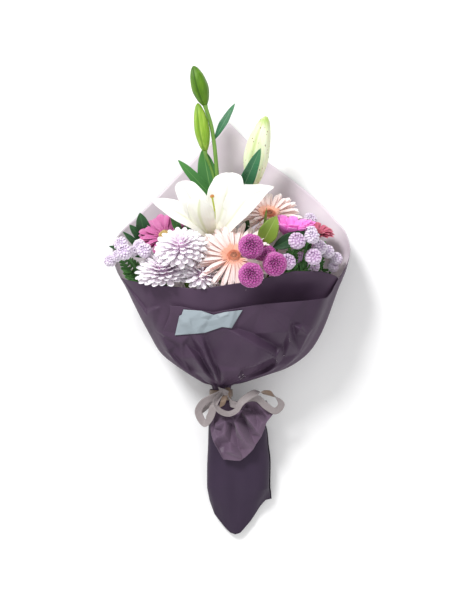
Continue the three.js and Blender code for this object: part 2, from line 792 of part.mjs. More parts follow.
// Share of the way along a petal, and half its width there.
const BROAD_PETAL = [[0, 4], [0.25, 16], [0.6, 23], [0.85, 19], [1, 7]];
const WIDE_PETAL = [[0, 4], [0.3, 18], [0.6, 24], [0.85, 15], [1, 1.5]];
const ROUND_PETAL = [[0, 4], [0.3, 14], [0.6, 19], [0.85, 15], [1, 6]];
const SLIM_PETAL = [[0, 3], [0.3, 11], [0.6, 15], [0.85, 11], [1, 1]];
const LILY_PETALS = [
  {
    root: [-14, 84, 92],
    path: [[-11, 110, 98], [-2, 142, 104], [3, 169, 95]],
    halfWidths: BROAD_PETAL,
    look: [-0.2, -0.3, 0.9],
  },
  {
    root: [-12, 84, 94],
    path: [[5, 104, 104], [31, 135, 120], [64, 151, 92]],
    halfWidths: WIDE_PETAL,
    look: [-0.5, 0.3, 0.8],
  },
  {
    root: [-12, 83, 92],
    path: [[0, 102, 93], [12, 124, 93], [18, 142, 91]],
    halfWidths: SLIM_PETAL,
    look: [-0.3, -0.3, 0.9],
  },
  {
    root: [-18, 83, 96],
    path: [[-30, 97, 111], [-36, 113, 131], [-32, 129, 148]],
    halfWidths: SLIM_PETAL,
    look: [0.4, 0.6, -0.5],
  },
  {
    root: [-17, 84, 92],
    path: [[-29, 106, 96], [-45, 134, 102], [-60, 158, 88]],
    halfWidths: ROUND_PETAL,
    look: [0.4, -0.1, 0.9],
  },
  {
    root: [-18, 83, 93],
    path: [[-33, 96, 103], [-62, 115, 112], [-98, 133, 102]],
    halfWidths: SLIM_PETAL,
    look: [0.4, 0.3, 0.8],
  },
];
// Share of a bud's length and its radius there as a share of the widest.
const BUD_SHAPE = [[0, 0.32], [0.16, 0.72], [0.42, 1], [0.7, 0.82], [0.93, 0.42], [1, 0.14]];

function lilyPetal({ root, path, halfWidths, look }) {
  const line = curve([root, ...path].map((p) => v(...p)), LILY_STEPS);
  const widths = line.map((_, i) => along(halfWidths, i / LILY_STEPS));
  return blade({ line, halfWidths: widths, look: unit(look), cup: 0.3 });
}

function lilyPetals() {
  const throat = tube(
    [LILY_BASE, LILY_BASE.clone().addScaledVector(LILY_FACE, LILY_THROAT)],
    [4, 7.5],
    8,
  );
  return fuse([throat, ...LILY_PETALS.map(lilyPetal)]);
}

function bud({ from, to, radius, shape = BUD_SHAPE }) {
  const start = v(...from);
  const end = v(...to);
  const line = shape.map(([share]) => start.clone().lerp(end, share));
  return tube(line, shape.map(([, width]) => radius * width), 7);
}

piece('lily_petals', lilyPetals(), LOOKS.lily());

const pistilFoot = LILY_BASE.clone().addScaledVector(LILY_FACE, LILY_THROAT + GAP);
piece('lily_pistil', tube(
  [pistilFoot, v(-26, 117, 119), v(-30, 131, 131), v(-30.6, 133, 133), v(-31.2, 135, 135)],
  [1.4, 1.1, 1.5, 3, 2.4],
  6,
), LOOKS.pistil());

const BUDS = {
  top: { from: [-27.6, 262.4, 75], to: [-43, 314, 80], radius: 11.2 },
  left: { from: [-27.5, 201.5, 68], to: [-37.5, 265, 74], radius: 10 },
  right: { from: [37, 154, 60], to: [55, 247, 76], radius: 16.5 },
};
piece('bud_top', bud(BUDS.top), LOOKS.bud());
piece('bud_left', bud(BUDS.left), LOOKS.bud());
piece('bud_right', bud(BUDS.right), LOOKS.paleBud());

// A stalk that ends straight behind the bud or bloom that it carries.
function stalk(start, seat, direction, radii) {
  const end = seat.clone().addScaledVector(direction, -GAP);
  return tube([...start, seat.clone().addScaledVector(direction, -STALK_RUN), end], radii, 5);
}

const directionOf = ({ from, to }) => v(...to).sub(v(...from)).normalize();

// The main stem up to its top bud.
const lilyMain = [
  ...stemFoot([0, 0]), v(-8, 20, 42), v(-10, 100, 56), v(-11, 163, 62), v(-18.5, 232, 69),
];
const LILY_MAIN_RADII = [2.4, 2.2, 2.2, 2.6, 2.8, 2.8, 2.7, 2.8, 3.4];
const LILY_BRANCHES = [
  { through: [[-9, 30, 43], [-11, 55, 62]], radii: [2, 2.2, 2.4, 3.8] },
  { through: [[-11, 150, 60], [-20, 180, 62]], radii: [2, 2.1, 2.2, 3], end: BUDS.left },
  { through: [[-10, 106, 57], [16, 128, 52]], radii: [2, 2.2, 2.6, 4.8], end: BUDS.right },
];
const LILY_LEAVES = [
  { from: [-15, 217, 67], to: [12.7, 266, 66], half: 5.5, look: [-0.4, 0, 1] },
  { from: [-11.5, 140, 59], to: [-32, 203, 54], half: 9.5, sag: -2 },
  { from: [-11, 132, 59], to: [-64, 189, 70], half: 8, sag: 3 },
  { from: [14, 127, 52], to: [47, 201, 96], half: 8.5, sag: 14, look: [0.2, -0.3, 1] },
];
const lilyStemParts = [
  stalk(lilyMain, v(...BUDS.top.from), directionOf(BUDS.top), LILY_MAIN_RADII),
  ...LILY_BRANCHES.map(({ through, radii, end }) => stalk(
    through.map((p) => v(...p)),
    end ? v(...end.from) : LILY_BASE,
    end ? directionOf(end) : LILY_FACE,
    radii,
  )),
  ...LILY_LEAVES.map(leafBlade),
];
piece('lily_stem', fuse(lilyStemParts), LOOKS.stem());

// ------------------------------------------------------------------- gerberas
// `petal` is half the width of a petal as a share of the bloom's radius, `inner`
// the width of an inner petal as a share of an outer one's.
const GERBERAS = [
  {
    name: 'peach_front', at: [11, 57, 127], face: [-0.05, 0.58, 0.81], slot: [1, 60],
    radius: 51, count: 18, petal: 0.084, inner: 1, rise: 14, parting: { at: -4.9, by: 16 },
    eye: 8.5, petals: 'peach', middle: 'peachEye',
  },
  {
    name: 'peach_rear', at: [59.4, 117, 60], face: [0.05, 0.72, 0.69], slot: [1, 300],
    radius: 45, count: 16, petal: 0.094, inner: 1, rise: 14,
    eye: 8, petals: 'peach', middle: 'peachEye',
  },
  {
    name: 'pink_left', at: [-82, 87, 76], face: [-0.35, 0.66, 0.67], slot: [1, 180],
    radius: 40, count: 14, petal: 0.115, inner: 0.9, rise: 26,
    eye: 7.5, petals: 'pink', middle: 'yellowEye',
  },
  {
    name: 'pink_right', at: [86.3, 83, 106], face: [0.1, 0.97, 0.2], slot: [1, 0],
    radius: 40, count: 13, petal: 0.11, inner: 0.8, rise: 56,
    eye: 6, petals: 'pink', middle: 'yellowEye',
  },
  {
    name: 'coral', at: [124, 92, 66], face: [0.25, 0.88, 0.4], slot: [BETWEEN, 330],
    radius: 25, count: 12, petal: 0.11, inner: 0.9, rise: 34,
    eye: 5.5, petals: 'coral', middle: 'yellowEye',
  },
];

for (const g of GERBERAS) {
  const at = v(...g.at);
  const face = unit(g.face);
  const group = bloomGroup(at, face);
  const disc = g.eye * 1.1;
  const reach = g.radius - disc;
  const half = g.radius * g.petal;
  const petals = rosette({
    count: g.count,
    rows: [[disc * 0.75, -5], [disc, -2.2], [disc * 0.95, 0.6]],
    bands: [
      { length: reach, rise: g.rise - 6, droop: 3, stations: [[0.55, half * 0.9], [0.9, half]] },
      { length: reach * 0.84, rise: g.rise + 8, droop: 2, stations: [[0.75, half * g.inner]] },
    ],
    parting: g.parting,
    seed: g.count,
  });
  piece(`gerbera_${g.name}_petals`, petals, LOOKS[g.petals](), group);
  const eye = piece(`gerbera_${g.name}_eye`, gerberaEye(g.eye), LOOKS[g.middle](), group);
  eye.position.z = 0.6 + GAP;
  const stem = singleStem(g.slot, at, face, GERBERA_FLOOR, disc * 0.7);
  piece(`gerbera_${g.name}_stem`, stem, LOOKS.stem());
}

// --------------------------------------------------------- spray chrysanthemums
const MUM_ROWS = [[7, -5], [9.4, -2.8], [9.6, 0.6], [7.6, 4], [4, 6.6]];
const MUM_BANDS = [
  { length: 24.5, rise: 0, droop: 3, stations: [[0.74, 3.8]] },
  { length: 22, rise: 15, droop: 3, stations: [[0.74, 3.5]] },
  { length: 17, rise: 34, droop: 3, stations: [[0.7, 2.8]] },
  { length: 10.5, rise: 56, droop: 2, stations: [[0.6, 1.8]] },
];
const MUMS = [
  { name: 'mum_top', at: [-58, 68, 126], face: [-0.08, 0.72, 0.68], scale: 1, count: 13, top: 8 },
  {
    name: 'mum_left', at: [-80, 38, 113], face: [-0.12, 0.74, 0.66], scale: 1.03, count: 13,
    top: 8, parting: { at: 19, by: 14 },
  },
  { name: 'mum_low', at: [-30.5, 33.5, 119], face: [0.15, 0.7, 0.7], scale: 0.76, count: 12, top: 17 },
];
for (const [i, mum] of MUMS.entries()) {
  const group = bloomGroup(v(...mum.at), unit(mum.face));
  piece(mum.name, rosette({
    ...mum,
    rows: MUM_ROWS,
    bands: MUM_BANDS,
    seed: i + 3,
  }), LOOKS.whiteMum(), group);
}

const headOf = (list, floorShare, cup) => list.map((head) => ({
  at: v(...head.at),
  face: unit(head.face),
  floor: floorShare(head),
  cup,
}));
piece('mum_stems', branchedStem(
  [OUTER, 120],
  v(-40, -20, 72),
  headOf(MUMS, (mum) => MUM_FLOOR * mum.scale, 4.5),
), LOOKS.leaf());

// ------------------------------------------------------------ button pompons
const buttonFloor = (head) => head.r * 0.6;

const MAGENTA = [
  { name: 'magenta_top', at: [32.4, 68.2, 158], face: [0, 0.35, 0.94], r: 15.4 },
  { name: 'magenta_behind', at: [53, 58, 123], face: [0.1, 0.5, 0.86], r: 13.6 },
  { name: 'magenta_right', at: [63, 46, 150], face: [0.1, 0.3, 0.95], r: 15 },
  { name: 'magenta_low', at: [32.2, 31.6, 166], face: [0.1, 0.15, 0.98], r: 15.4 },
];
for (const head of MAGENTA) {
  const group = bloomGroup(v(...head.at), unit(head.face));
  const shape = button({ radius: head.r, detail: 2, floor: buttonFloor(head), raise: 1.6 });
  const mesh = piece(head.name, shape, LOOKS.magenta(), group);
  mesh.userData.ball = head.r + BALL_CLEARANCE;
}
piece('magenta_stems', branchedStem(
  [BETWEEN, 90],
  v(28, 24, 114),
  headOf(MAGENTA, buttonFloor, 3.5),
), LOOKS.leaf());

// Small lilac heads. Two that touch each other make one body.
const LILAC_LEFT = [
  [{ at: [-143, 59, 98], r: 8 }, { at: [-153.5, 52.9, 92], r: 8.4 }],
  [{ at: [-132, 63, 118], r: 10.4 }, { at: [-138, 74, 106], r: 9.4 }],
  [
    { at: [-114, 72, 103], r: 8.2 }, { at: [-122, 65, 97], r: 7.4 },
    { at: [-106.3, 65, 114], r: 9.6 },
  ],
];
const LILAC_FRONT = [
  [{ at: [92, 76.4, 142], r: 10.8 }],
  [{ at: [80.8, 49.9, 128], r: 10.4 }],
  [{ at: [100, 54, 88], r: 10.2 }],
  [{ at: [114, 56, 132], r: 10.6 }],
  [{ at: [116.4, 45, 98], r: 8.5 }],
];
const LILAC_REAR = [
  [{ at: [111.9, 82.1, 134], r: 9.4 }, { at: [111.2, 88, 126], r: 8.4 }],
  [{ at: [124, 70, 100], r: 10.2 }],
  [{ at: [136, 65, 84], r: 9.4 }],
  [{ at: [145, 45, 70], r: 7.6 }, { at: [149, 56, 72], r: 8.6 }],
  [{ at: [117, 111.6, 38], r: 8.9 }],
];

// The cut leaves of the sprays, which fill the gaps under the heads.
const LEFT_FOLIAGE = [
  { from: [-70, -29, 57], to: [-140, 43, 72], half: 10, sag: -4, rows: LOBED_SHARES },
  { from: [-76, -19, 61], to: [-117, 42, 78], half: 9, sag: -6, rows: LOBED_SHARES },
];
const REAR_FOLIAGE = [
  { from: [78, -19, 60], to: [132, 42, 66], half: 9, sag: 6, rows: LOBED_SHARES },
];

function lilacSpray(prefix, heads, look, { face, slot, fork, leaves }) {
  const direction = unit(face);
  // The first head of each body has the stalk.
  const carried = heads.map(([head]) => ({
    at: v(...head.at), face: direction, floor: buttonFloor(head), cup: 2.4,
  }));
  heads.forEach((group, i) => {
    const bodies = group.map((head) => {
      const shape = button({ radius: head.r, detail: 1, floor: buttonFloor(head), raise: 1.3 });
      shape.applyQuaternion(new Quaternion().setFromUnitVectors(v(0, 0, 1), direction));
      shape.translate(...head.at);
      return shape;
    });
    piece(`${prefix}_${i + 1}`, bodies.length > 1 ? fuse(bodies) : bodies[0], look());
  });
  piece(`${prefix}_stems`, branchedStem(slot, fork, carried, leaves), LOOKS.leaf());
}

lilacSpray('lilac_left', LILAC_LEFT, LOOKS.lilac, {
  face: [-0.35, 0.55, 0.75], slot: [OUTER, 180], fork: v(-85, -5, 66), leaves: LEFT_FOLIAGE,
});
lilacSpray('lilac_front', LILAC_FRONT, LOOKS.lilac, {
  face: [0.15, 0.45, 0.88], slot: [BETWEEN, 30], fork: v(68, -10, 86),
});
lilacSpray('lilac_rear', LILAC_REAR, LOOKS.paleLilac, {
  face: [0.3, 0.6, 0.74], slot: [OUTER, 0], fork: v(104, 8, 58), leaves: REAR_FOLIAGE,
});

// -------------------------------------------------------------------- greenery
function sprig(name, slot, through, leaves, look) {
  const foot = stemFoot(slot);
  const parts = [tube([...foot, ...through.map((p) => v(...p))], [
    ...foot.map(() => 1.8), ...through.map(() => 1.3),
  ], 6)];
  for (const leaf of leaves) {
    parts.push(leafBlade(leaf));
  }
  piece(name, fuse(parts), look());
}

sprig('leaves_bright', [OUTER, 60], [[34, 0, 64], [49, 80, 98], [52, 82, 120]], [
  { from: [52, 80, 118], to: [65, 107, 136], half: 12.5, sag: 5, look: [0, -0.2, 1] },
  { from: [49.5, 80, 102], to: [54, 121, 114], half: 2, sag: 4 },
], LOOKS.brightLeaf);
sprig('leaf_dark_right', [OUTER, 300], [[42, 0, 44], [65, 50, 92], [67.5, 67, 120]], [
  { from: [67.3, 66, 119.5], to: [100, 84.5, 125.5], half: 7.8, sag: 2 },
], LOOKS.darkLeaf);
sprig('leaves_left', [BETWEEN, 210], [[-60, -20, 40], [-95, 50, 49], [-108, 80, 56]], [
  { from: [-107, 78, 55], to: [-116, 118, 66], half: 10, sag: 3 },
  { from: [-104, 72, 53], to: [-130, 102, 65], half: 7, sag: 3 },
  { from: [-98, 55, 50], to: [-138, 92, 75], half: 5.5, sag: 5 },
], LOOKS.darkLeaf);
sprig('leaves_under_lily', [1, 120], [[-24, 0, 60], [-50, 60, 88], [-60, 86, 98]], [
  { from: [-59, 84, 97], to: [-73, 121, 103], half: 5.5, sag: 2 },
  { from: [-56, 76, 94], to: [-48, 103, 98], half: 7, sag: 1 },
], LOOKS.leaf);
sprig('leaf_dark_middle', [1, 240], [[2, 0, 34], [14, 60, 56], [18, 78, 68]], [
  { from: [17, 76, 66], to: [31, 107, 84], half: 8, sag: 3 },
], LOOKS.darkLeaf);

// Where petals meet a neighbour they end just clear of it. The neighbour is
// taken a little larger: a plain ball for a head, wider tubes for stalks, and
// shifted copies for the rest.
function blocker(name) {
  const mesh = bouquet.getObjectByName(name);
  const { ball, tubes } = mesh.userData;
  if (ball) {
    const round = new THREE.IcosahedronGeometry(ball, 1);
    return toSolid(round.applyMatrix4(mesh.matrixWorld));
  }
  if (tubes) {
    const wide = tubes.map(({ line, radii }) => (
      toSolid(tube(line, radii.map((radius) => radius + TUBE_CLEARANCE), STEM_SIDES))
    ));
    return wasm.Manifold.union(wide);
  }
  const solid = toSolid(mesh.geometry.clone().applyMatrix4(mesh.matrixWorld));
  const shifted = CORNER_WAYS.map((way) => solid.translate(way.map((n) => n * COPY_SHIFT)));
  return wasm.Manifold.union([solid, ...shifted]);
}

function giveWay(name, neighbours) {
  const mesh = bouquet.getObjectByName(name);
  const inWorld = toSolid(mesh.geometry.clone().applyMatrix4(mesh.matrixWorld));
  const cut = inWorld.subtract(wasm.Manifold.union(neighbours.map(blocker)));
  const bodies = cut.decompose().sort((a, b) => b.volume() - a.volume());
  mesh.geometry = toGeometry(bodies[0]).applyMatrix4(mesh.matrixWorld.clone().invert());
}

bouquet.updateMatrixWorld(true);
giveWay('gerbera_peach_front_petals', [
  'magenta_behind', 'magenta_low', 'magenta_stems', 'leaves_bright', 'lily_petals',
]);
giveWay('gerbera_pink_right_petals', ['lilac_rear_1', 'leaf_dark_right', 'leaves_bright']);
giveWay('gerbera_pink_left_petals', ['leaves_left', 'leaves_under_lily']);
giveWay('mum_left', ['mum_low', 'mum_stems']);

export default bouquet;
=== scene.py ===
# %% [markdown]
# # A mixed flower bouquet in plum film, lying on its back
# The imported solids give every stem, bloom and sheet its place. This script dresses
# them: it grows the real petals, florets, leaves and folds where the solids are, and
# gives each one a material made of nodes. All numbers are millimetres, in the frame of
# the solids: X to the right, Y along the bouquet to the bud tips, Z up from the table.

import bpy
import numpy as np
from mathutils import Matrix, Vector
from mathutils.geometry import delaunay_2d_cdt


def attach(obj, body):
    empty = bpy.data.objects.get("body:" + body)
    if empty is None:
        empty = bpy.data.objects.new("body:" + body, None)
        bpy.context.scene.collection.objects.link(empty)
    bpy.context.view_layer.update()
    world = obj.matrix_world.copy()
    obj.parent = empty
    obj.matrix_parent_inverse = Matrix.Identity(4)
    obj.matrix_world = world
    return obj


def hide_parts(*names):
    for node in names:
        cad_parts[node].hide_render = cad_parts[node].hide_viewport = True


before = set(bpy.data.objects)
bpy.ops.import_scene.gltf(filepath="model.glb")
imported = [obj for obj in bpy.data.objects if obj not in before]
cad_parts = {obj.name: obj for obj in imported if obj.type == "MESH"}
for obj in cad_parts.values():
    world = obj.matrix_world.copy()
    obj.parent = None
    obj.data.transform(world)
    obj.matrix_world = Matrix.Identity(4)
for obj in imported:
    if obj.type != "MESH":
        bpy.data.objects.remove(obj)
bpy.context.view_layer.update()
MM = 0.001

# %% [markdown]
# The camera stands straight above the bouquet, as the photograph looks at it.

# %% Camera
EYE_HEIGHT, LENS = 1.6, 68


def put(name, data, at):
    made = bpy.data.objects.new(name, data)
    made.location = at
    bpy.context.collection.objects.link(made)
    return made


camera_data = bpy.data.cameras.new("eye")
camera_data.lens = LENS
bpy.context.scene.camera = put("eye", camera_data, (0, 0, EYE_HEIGHT))

# %% [markdown]
# One large soft lamp up and to the left gives the main light, with its shadow at the
# lower right. Two weak ones and a bright plain world lift the shadows. The table is a
# bare plane.

# %% Table and lamps
table_mesh = bpy.data.meshes.new("table")
table_mesh.from_pydata([(-9, -9, 0), (9, -9, 0), (9, 9, 0), (-9, 9, 0)], [], [(0, 1, 2, 3)])
TABLE_DROP, WORLD_LIGHT = 0.0006, 0.68
put("table", table_mesh, (0, 0, -TABLE_DROP))

LIT_POINT = np.array([0, 0, 0.05])
LAMPS = [  # name, place, size, power
    ("main", (-1.2, 1.95, 2.15), 0.9, 80), ("fill", (1.9, -0.6, 2.4), 2.4, 12),
    ("front", (-0.4, -2.0, 1.2), 1.6, 8),
]
for name, at, size, power in LAMPS:
    light = bpy.data.lights.new(name, "AREA")
    light.shape, light.size, light.energy = "DISK", size, power
    lamp = put(name, light, at)
    lamp.rotation_euler = Vector(LIT_POINT - at).to_track_quat("-Z", "Y").to_euler()

world = bpy.data.worlds.new("studio")
world.use_nodes = True
backdrop = world.node_tree.nodes["Background"].inputs
backdrop["Color"].default_value = (1, 1, 1, 1)
backdrop["Strength"].default_value = WORLD_LIGHT
bpy.context.scene.world = world
bpy.context.scene.view_settings.view_transform = "Standard"

# %% [markdown]
# Every shape below is an array of points. These helpers do what a hand does with a
# template: read a width off a list, ease from one value to the next, and draw a
# smooth line through marked points.

# %% Numbers and lines
rng = np.random.default_rng(11)


def unit(way):
    way = np.asarray(way, float)
    return way / np.maximum(np.linalg.norm(way, axis=-1, keepdims=True), 1e-9)


def ease(value, low, high):
    """0 below low, 1 above high, and smooth between."""
    share = np.clip((np.asarray(value, float) - low) / (high - low), 0, 1)
    return share * share * (3 - 2 * share)


def read(steps, where, column=1):
    """The value at a place along a list of [place, value] steps."""
    return np.interp(where, [step[0] for step in steps], [step[column] for step in steps])


def smooth_line(points, count):
    """count + 1 points of a smooth line through the given ones."""
    marks = np.array(points, float)
    marks = np.vstack([2 * marks[0] - marks[1], marks, 2 * marks[-1] - marks[-2]])
    knots = np.concatenate([[0], np.cumsum(np.maximum(
        np.linalg.norm(np.diff(marks, axis=0), axis=1) ** 0.5, 1e-6))])
    out = []
    for t in np.linspace(0, len(points) - 1, count + 1):
        i = min(int(t), len(points) - 2)
        k, p = knots[i:i + 4], marks[i:i + 4]
        s = k[1] + (t - i) * (k[2] - k[1])

        def mix(a, b, low, high):
            return (a * (high - s) + b * (s - low)) / (high - low)
        one, two, three = (mix(p[j], p[j + 1], k[j], k[j + 1]) for j in range(3))
        out.append(mix(mix(one, two, k[0], k[2]), mix(two, three, k[1], k[3]), k[1], k[2]))
    return np.array(out)


# %% [markdown]
# A bloom is hundreds of small shapes. A Heap gathers them as arrays and turns them
# into one mesh, far quicker than joining objects. Each point may carry a mark: how
# far across its petal it lies, how far along, and a number that differs from petal to
# petal. The materials read these marks.

# %% Heap
class Heap:
    """Small shapes that become one piece."""

    def __init__(self):
        self.points, self.faces, self.marks, self.looks, self.count = [], [], [], [], 0

    def add(self, points, faces, marks=None, look=0):
        points = np.asarray(points, float).reshape(-1, 3)
        marks = np.zeros_like(points) if marks is None else np.asarray(marks, float)
        self.points.append(points)
        self.marks.append(marks.reshape(-1, 3))
        for group in faces if isinstance(faces, list) else [faces]:
            group = np.asarray(group) + self.count
            self.faces.append(group)
            self.looks.append(np.full(len(group), look) if np.isscalar(look) else look)
        self.count += len(points)

    def piece(self, name, materials, nodes, slot):
        """The finished object, which stands for CAD nodes and rides with them."""
        points = np.concatenate(self.points) * MM
        mesh = bpy.data.meshes.new(name)
        sizes = np.concatenate([np.full(len(f), f.shape[1]) for f in self.faces])
        corners = np.concatenate([f.ravel() for f in self.faces])
        starts = np.concatenate([[0], np.cumsum(sizes)[:-1]])
        mesh.vertices.add(len(points))
        mesh.loops.add(len(corners))
        mesh.polygons.add(len(sizes))
        for part, key, values, kind in (
                (mesh.vertices, "co", points, np.float32),
                (mesh.loops, "vertex_index", corners, np.int32),
                (mesh.polygons, "loop_start", starts, np.int32),
                (mesh.polygons, "material_index", np.concatenate(self.looks), np.int32),
                (mesh.polygons, "use_smooth", np.ones(len(sizes)), bool)):
            part.foreach_set(key, values.astype(kind).ravel())
        mesh.update(calc_edges=True)
        mesh.validate()
        marks = mesh.attributes.new("mark", "FLOAT_VECTOR", "POINT")
        marks.data.foreach_set("vector", np.concatenate(self.marks).astype(np.float32).ravel())
        for material in materials:
            mesh.materials.append(material)
        made = put(name, mesh, (0, 0, 0))
        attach(made, "root")
        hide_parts(*nodes)
        print(f"{name}: {len(points)} points, {len(sizes)} faces")
        return made


# %% [markdown]
# Petals, leaves, film and ribbon are thin sheets: a grid of points with an upper
# face, a lower face and a narrow rim that closes them. Tubes make the stems.

# %% Sheets and tubes
def grid_faces(rows, columns, closed=False):
    ids = np.arange(rows * columns).reshape(rows, columns)
    if closed:
        ids = np.hstack([ids, ids[:, :1]])
    corners = [ids[:-1, :-1], ids[:-1, 1:], ids[1:, 1:], ids[1:, :-1]]
    return np.stack(corners, -1).reshape(-1, 4)


def grid_normals(grid):
    return unit(np.cross(np.gradient(grid, axis=1), np.gradient(grid, axis=0)))


def sheet_shape(grid, thickness, upper, lower=0, edge_look=None):
    """Points, faces and looks of a closed thin sheet. The upper side is towards the
    cross product of the grid's columns and rows."""
    rows, columns, _ = grid.shape
    lift = grid_normals(grid) * (thickness / 2)
    points = np.concatenate([(grid + lift).reshape(-1, 3), (grid - lift).reshape(-1, 3)])
    top = grid_faces(rows, columns)
    total = rows * columns
    ids = np.arange(total).reshape(rows, columns)
    edge = np.concatenate([ids[0], ids[1:, -1], ids[-1, -2::-1], ids[-2:0:-1, 0]])
    after = np.roll(edge, -1)
    rim = np.stack([edge + total, after + total, after, edge], -1)
    # Both sides start each face at the same corner, so that they are split along the
    # same diagonal and neither comes through the other at a crease.
    faces = np.concatenate([top, top[:, [0, 3, 2, 1]] + total, rim])
    looks = np.concatenate([np.full(len(top), upper), np.full(len(top), lower),
                            np.full(len(rim), lower if edge_look is None else edge_look)])
    return points, faces, looks


def grid_marks(rows, columns, tint, lengthwise=False):
    """Across from -1 to 1, along from 0 to 1, and the petal's own number, for both
    sides. The rows of a lengthwise grid run along it instead of across."""
    wide, long = (rows, columns) if lengthwise else (columns, rows)
    across, along = np.meshgrid(np.linspace(-1, 1, wide), np.linspace(0, 1, long))
    one = np.stack([across, along, np.full_like(across, tint)], -1)
    one = (one.swapaxes(0, 1) if lengthwise else one).reshape(-1, 3)
    return np.concatenate([one, one])


def sheet_piece(name, grid, thickness, materials, node, slot, upper=0):
    """A sheet that is a piece of its own, with a material for each side."""
    heap = Heap()
    points, faces, looks = sheet_shape(grid, thickness, upper)
    heap.add(points, faces, look=looks)
    return heap.piece(name, materials, [node], slot)


def tube_shape(line, radii, sides):
    line, radii = np.asarray(line, float), np.asarray(radii, float)
    tangents = unit(np.gradient(line, axis=0))
    side = np.array([1, 0, 0.2])
    rings = []
    for point, tangent, radius in zip(line, tangents, radii):
        side = unit(side - tangent * np.dot(side, tangent))
        up = np.cross(tangent, side)
        angle = np.linspace(0, 2 * np.pi, sides, endpoint=False)[:, None]
        rings.append(point + radius * (np.cos(angle) * side + np.sin(angle) * up))
    points = np.concatenate([*rings, line[:1], line[-1:]])
    faces = grid_faces(len(line), sides, closed=True)
    ring = np.arange(sides)
    after = np.roll(ring, -1)
    base, last = sides * len(line), sides * (len(line) - 1)
    ends = np.concatenate([
        np.stack([after, ring, np.full(sides, base)], -1),
        np.stack([ring + last, after + last, np.full(sides, base + 1)], -1)])
    along = np.repeat(np.linspace(0, 1, len(line)), sides)
    marks = np.stack([np.tile(np.linspace(-1, 1, sides), len(line)), along,
                      np.zeros(len(along))], -1)
    marks = np.concatenate([marks, [[0, 0, 0], [0, 1, 0]]])
    return points, [faces, ends], marks


# %% [markdown]
# ## Finishes
# Petals, leaves and buds share one effect, with a midrib and fine veins read from the
# marks. Films and the label share another, a net of soft creases. Each is a node
# group, so that a material only says how strong it wants it.

# %% Node helpers
def colour(code):
    """A web colour as the linear numbers that Blender mixes with."""
    parts = np.array([int(code[i:i + 2], 16) for i in (1, 3, 5)]) / 255
    linear = np.where(parts <= 0.04045, parts / 12.92, ((parts + 0.055) / 1.055) ** 2.4)
    return (*linear, 1)


class Nodes:
    """Short names for adding and wiring nodes of one tree."""

    def __init__(self, tree):
        self.tree = tree

    def add(self, kind, **values):
        node = self.tree.nodes.new(kind)
        for key, value in values.items():
            setattr(node, key, value)
        return node

    def wire(self, source, target):
        if isinstance(source, (int, float, tuple)):
            target.default_value = source
        else:
            self.tree.links.new(source, target)

    def sum(self, operation, first, second=0.5, third=None):
        node = self.add("ShaderNodeMath", operation=operation)
        for socket, value in zip(node.inputs, (first, second, third)):
            if value is not None:
                self.wire(value, socket)
        return node.outputs[0]

    def range(self, value, low, high, to_low=0.0, to_high=1.0):
        node = self.add("ShaderNodeMapRange", interpolation_type="SMOOTHSTEP")
        for socket, given in zip(node.inputs, (value, low, high, to_low, to_high)):
            self.wire(given, socket)
        return node.outputs[0]

    def blend(self, share, first, second):
        node = self.add("ShaderNodeMix", data_type="RGBA")
        self.wire(share, node.inputs["Factor"])
        self.wire(first, node.inputs[6])
        self.wire(second, node.inputs[7])
        return node.outputs[2]

    def marks(self):
        """Across, along and own number, as every point carries them."""
        split = self.add("ShaderNodeSeparateXYZ")
        mark = self.add("ShaderNodeAttribute", attribute_name="mark")
        self.wire(mark.outputs["Vector"], split.inputs[0])
        return split.outputs

    def tint(self, shade, mask, code, share=None):
        """A web colour over a shade, where the mask says."""
        if share is not None:
            mask = self.sum("MULTIPLY", mask, share)
        return self.blend(mask, shade, colour(code))

    def noise(self, scale, detail, stretch=None):
        where = self.add("ShaderNodeTexCoord").outputs["Object"]
        if stretch:
            mapping = set_inputs(self.add("ShaderNodeMapping"), Scale=stretch)
            self.wire(where, mapping.inputs["Vector"])
            where = mapping.outputs[0]
        node = set_inputs(self.add("ShaderNodeTexNoise"), Scale=scale, Detail=detail,
                          Roughness=0.55)
        self.wire(where, node.inputs["Vector"])
        return node.outputs["Fac"]


def set_inputs(node, **values):
    """Constant values, straight on the node's own sockets."""
    for key, value in values.items():
        node.inputs[key.replace("_", " ")].default_value = value
    return node


def new_group(name, inputs, outputs):
    group = bpy.data.node_groups.new(name, "ShaderNodeTree")
    for label, value in inputs.items():
        socket = group.interface.new_socket(label, in_out="INPUT", socket_type="NodeSocketFloat")
        socket.default_value = value
    for label in outputs:
        group.interface.new_socket(label, in_out="OUTPUT", socket_type="NodeSocketFloat")
    nodes = Nodes(group)
    return group, nodes, nodes.add("NodeGroupInput").outputs, nodes.add("NodeGroupOutput").inputs


# %% [markdown]
# Each petal of the real flowers has a rib, and veins that fan out beside it. Images
# would need a picture per petal. A node group works the veins out from the marks
# instead, so every petal gets its own, at any size.

# %% Petal veins
vein_group, g, given, out = new_group(
    "petal_veins",
    {"Veins": 7.0, "Slant": 0.0, "Rib Width": 0.12},
    ["Rib", "Vein", "Along", "Own", "Height"],
)
across, along, own = g.marks()
aside = g.sum("ABSOLUTE", across)
rib = g.sum("SUBTRACT", 1.0, g.range(aside, 0.0, given["Rib Width"]))
slanted = g.sum("MULTIPLY_ADD", along, given["Slant"],
                g.sum("MULTIPLY", aside, given["Veins"]))
wave = g.sum("ABSOLUTE", g.sum("SINE", g.sum("MULTIPLY", slanted, np.pi)))
vein = g.sum("SUBTRACT", 1.0, g.range(wave, 0.0, 0.55))
height = g.sum("MULTIPLY_ADD", vein, -0.35, g.sum("MULTIPLY", rib, -0.8))
for value, socket in zip((rib, vein, along, own, height), out):
    g.wire(value, socket)

# %% [markdown]
# Handled film keeps a faint net of creases. Cells of a Voronoi texture have just such
# edges; bending the place where the texture is read makes them wander like real ones.

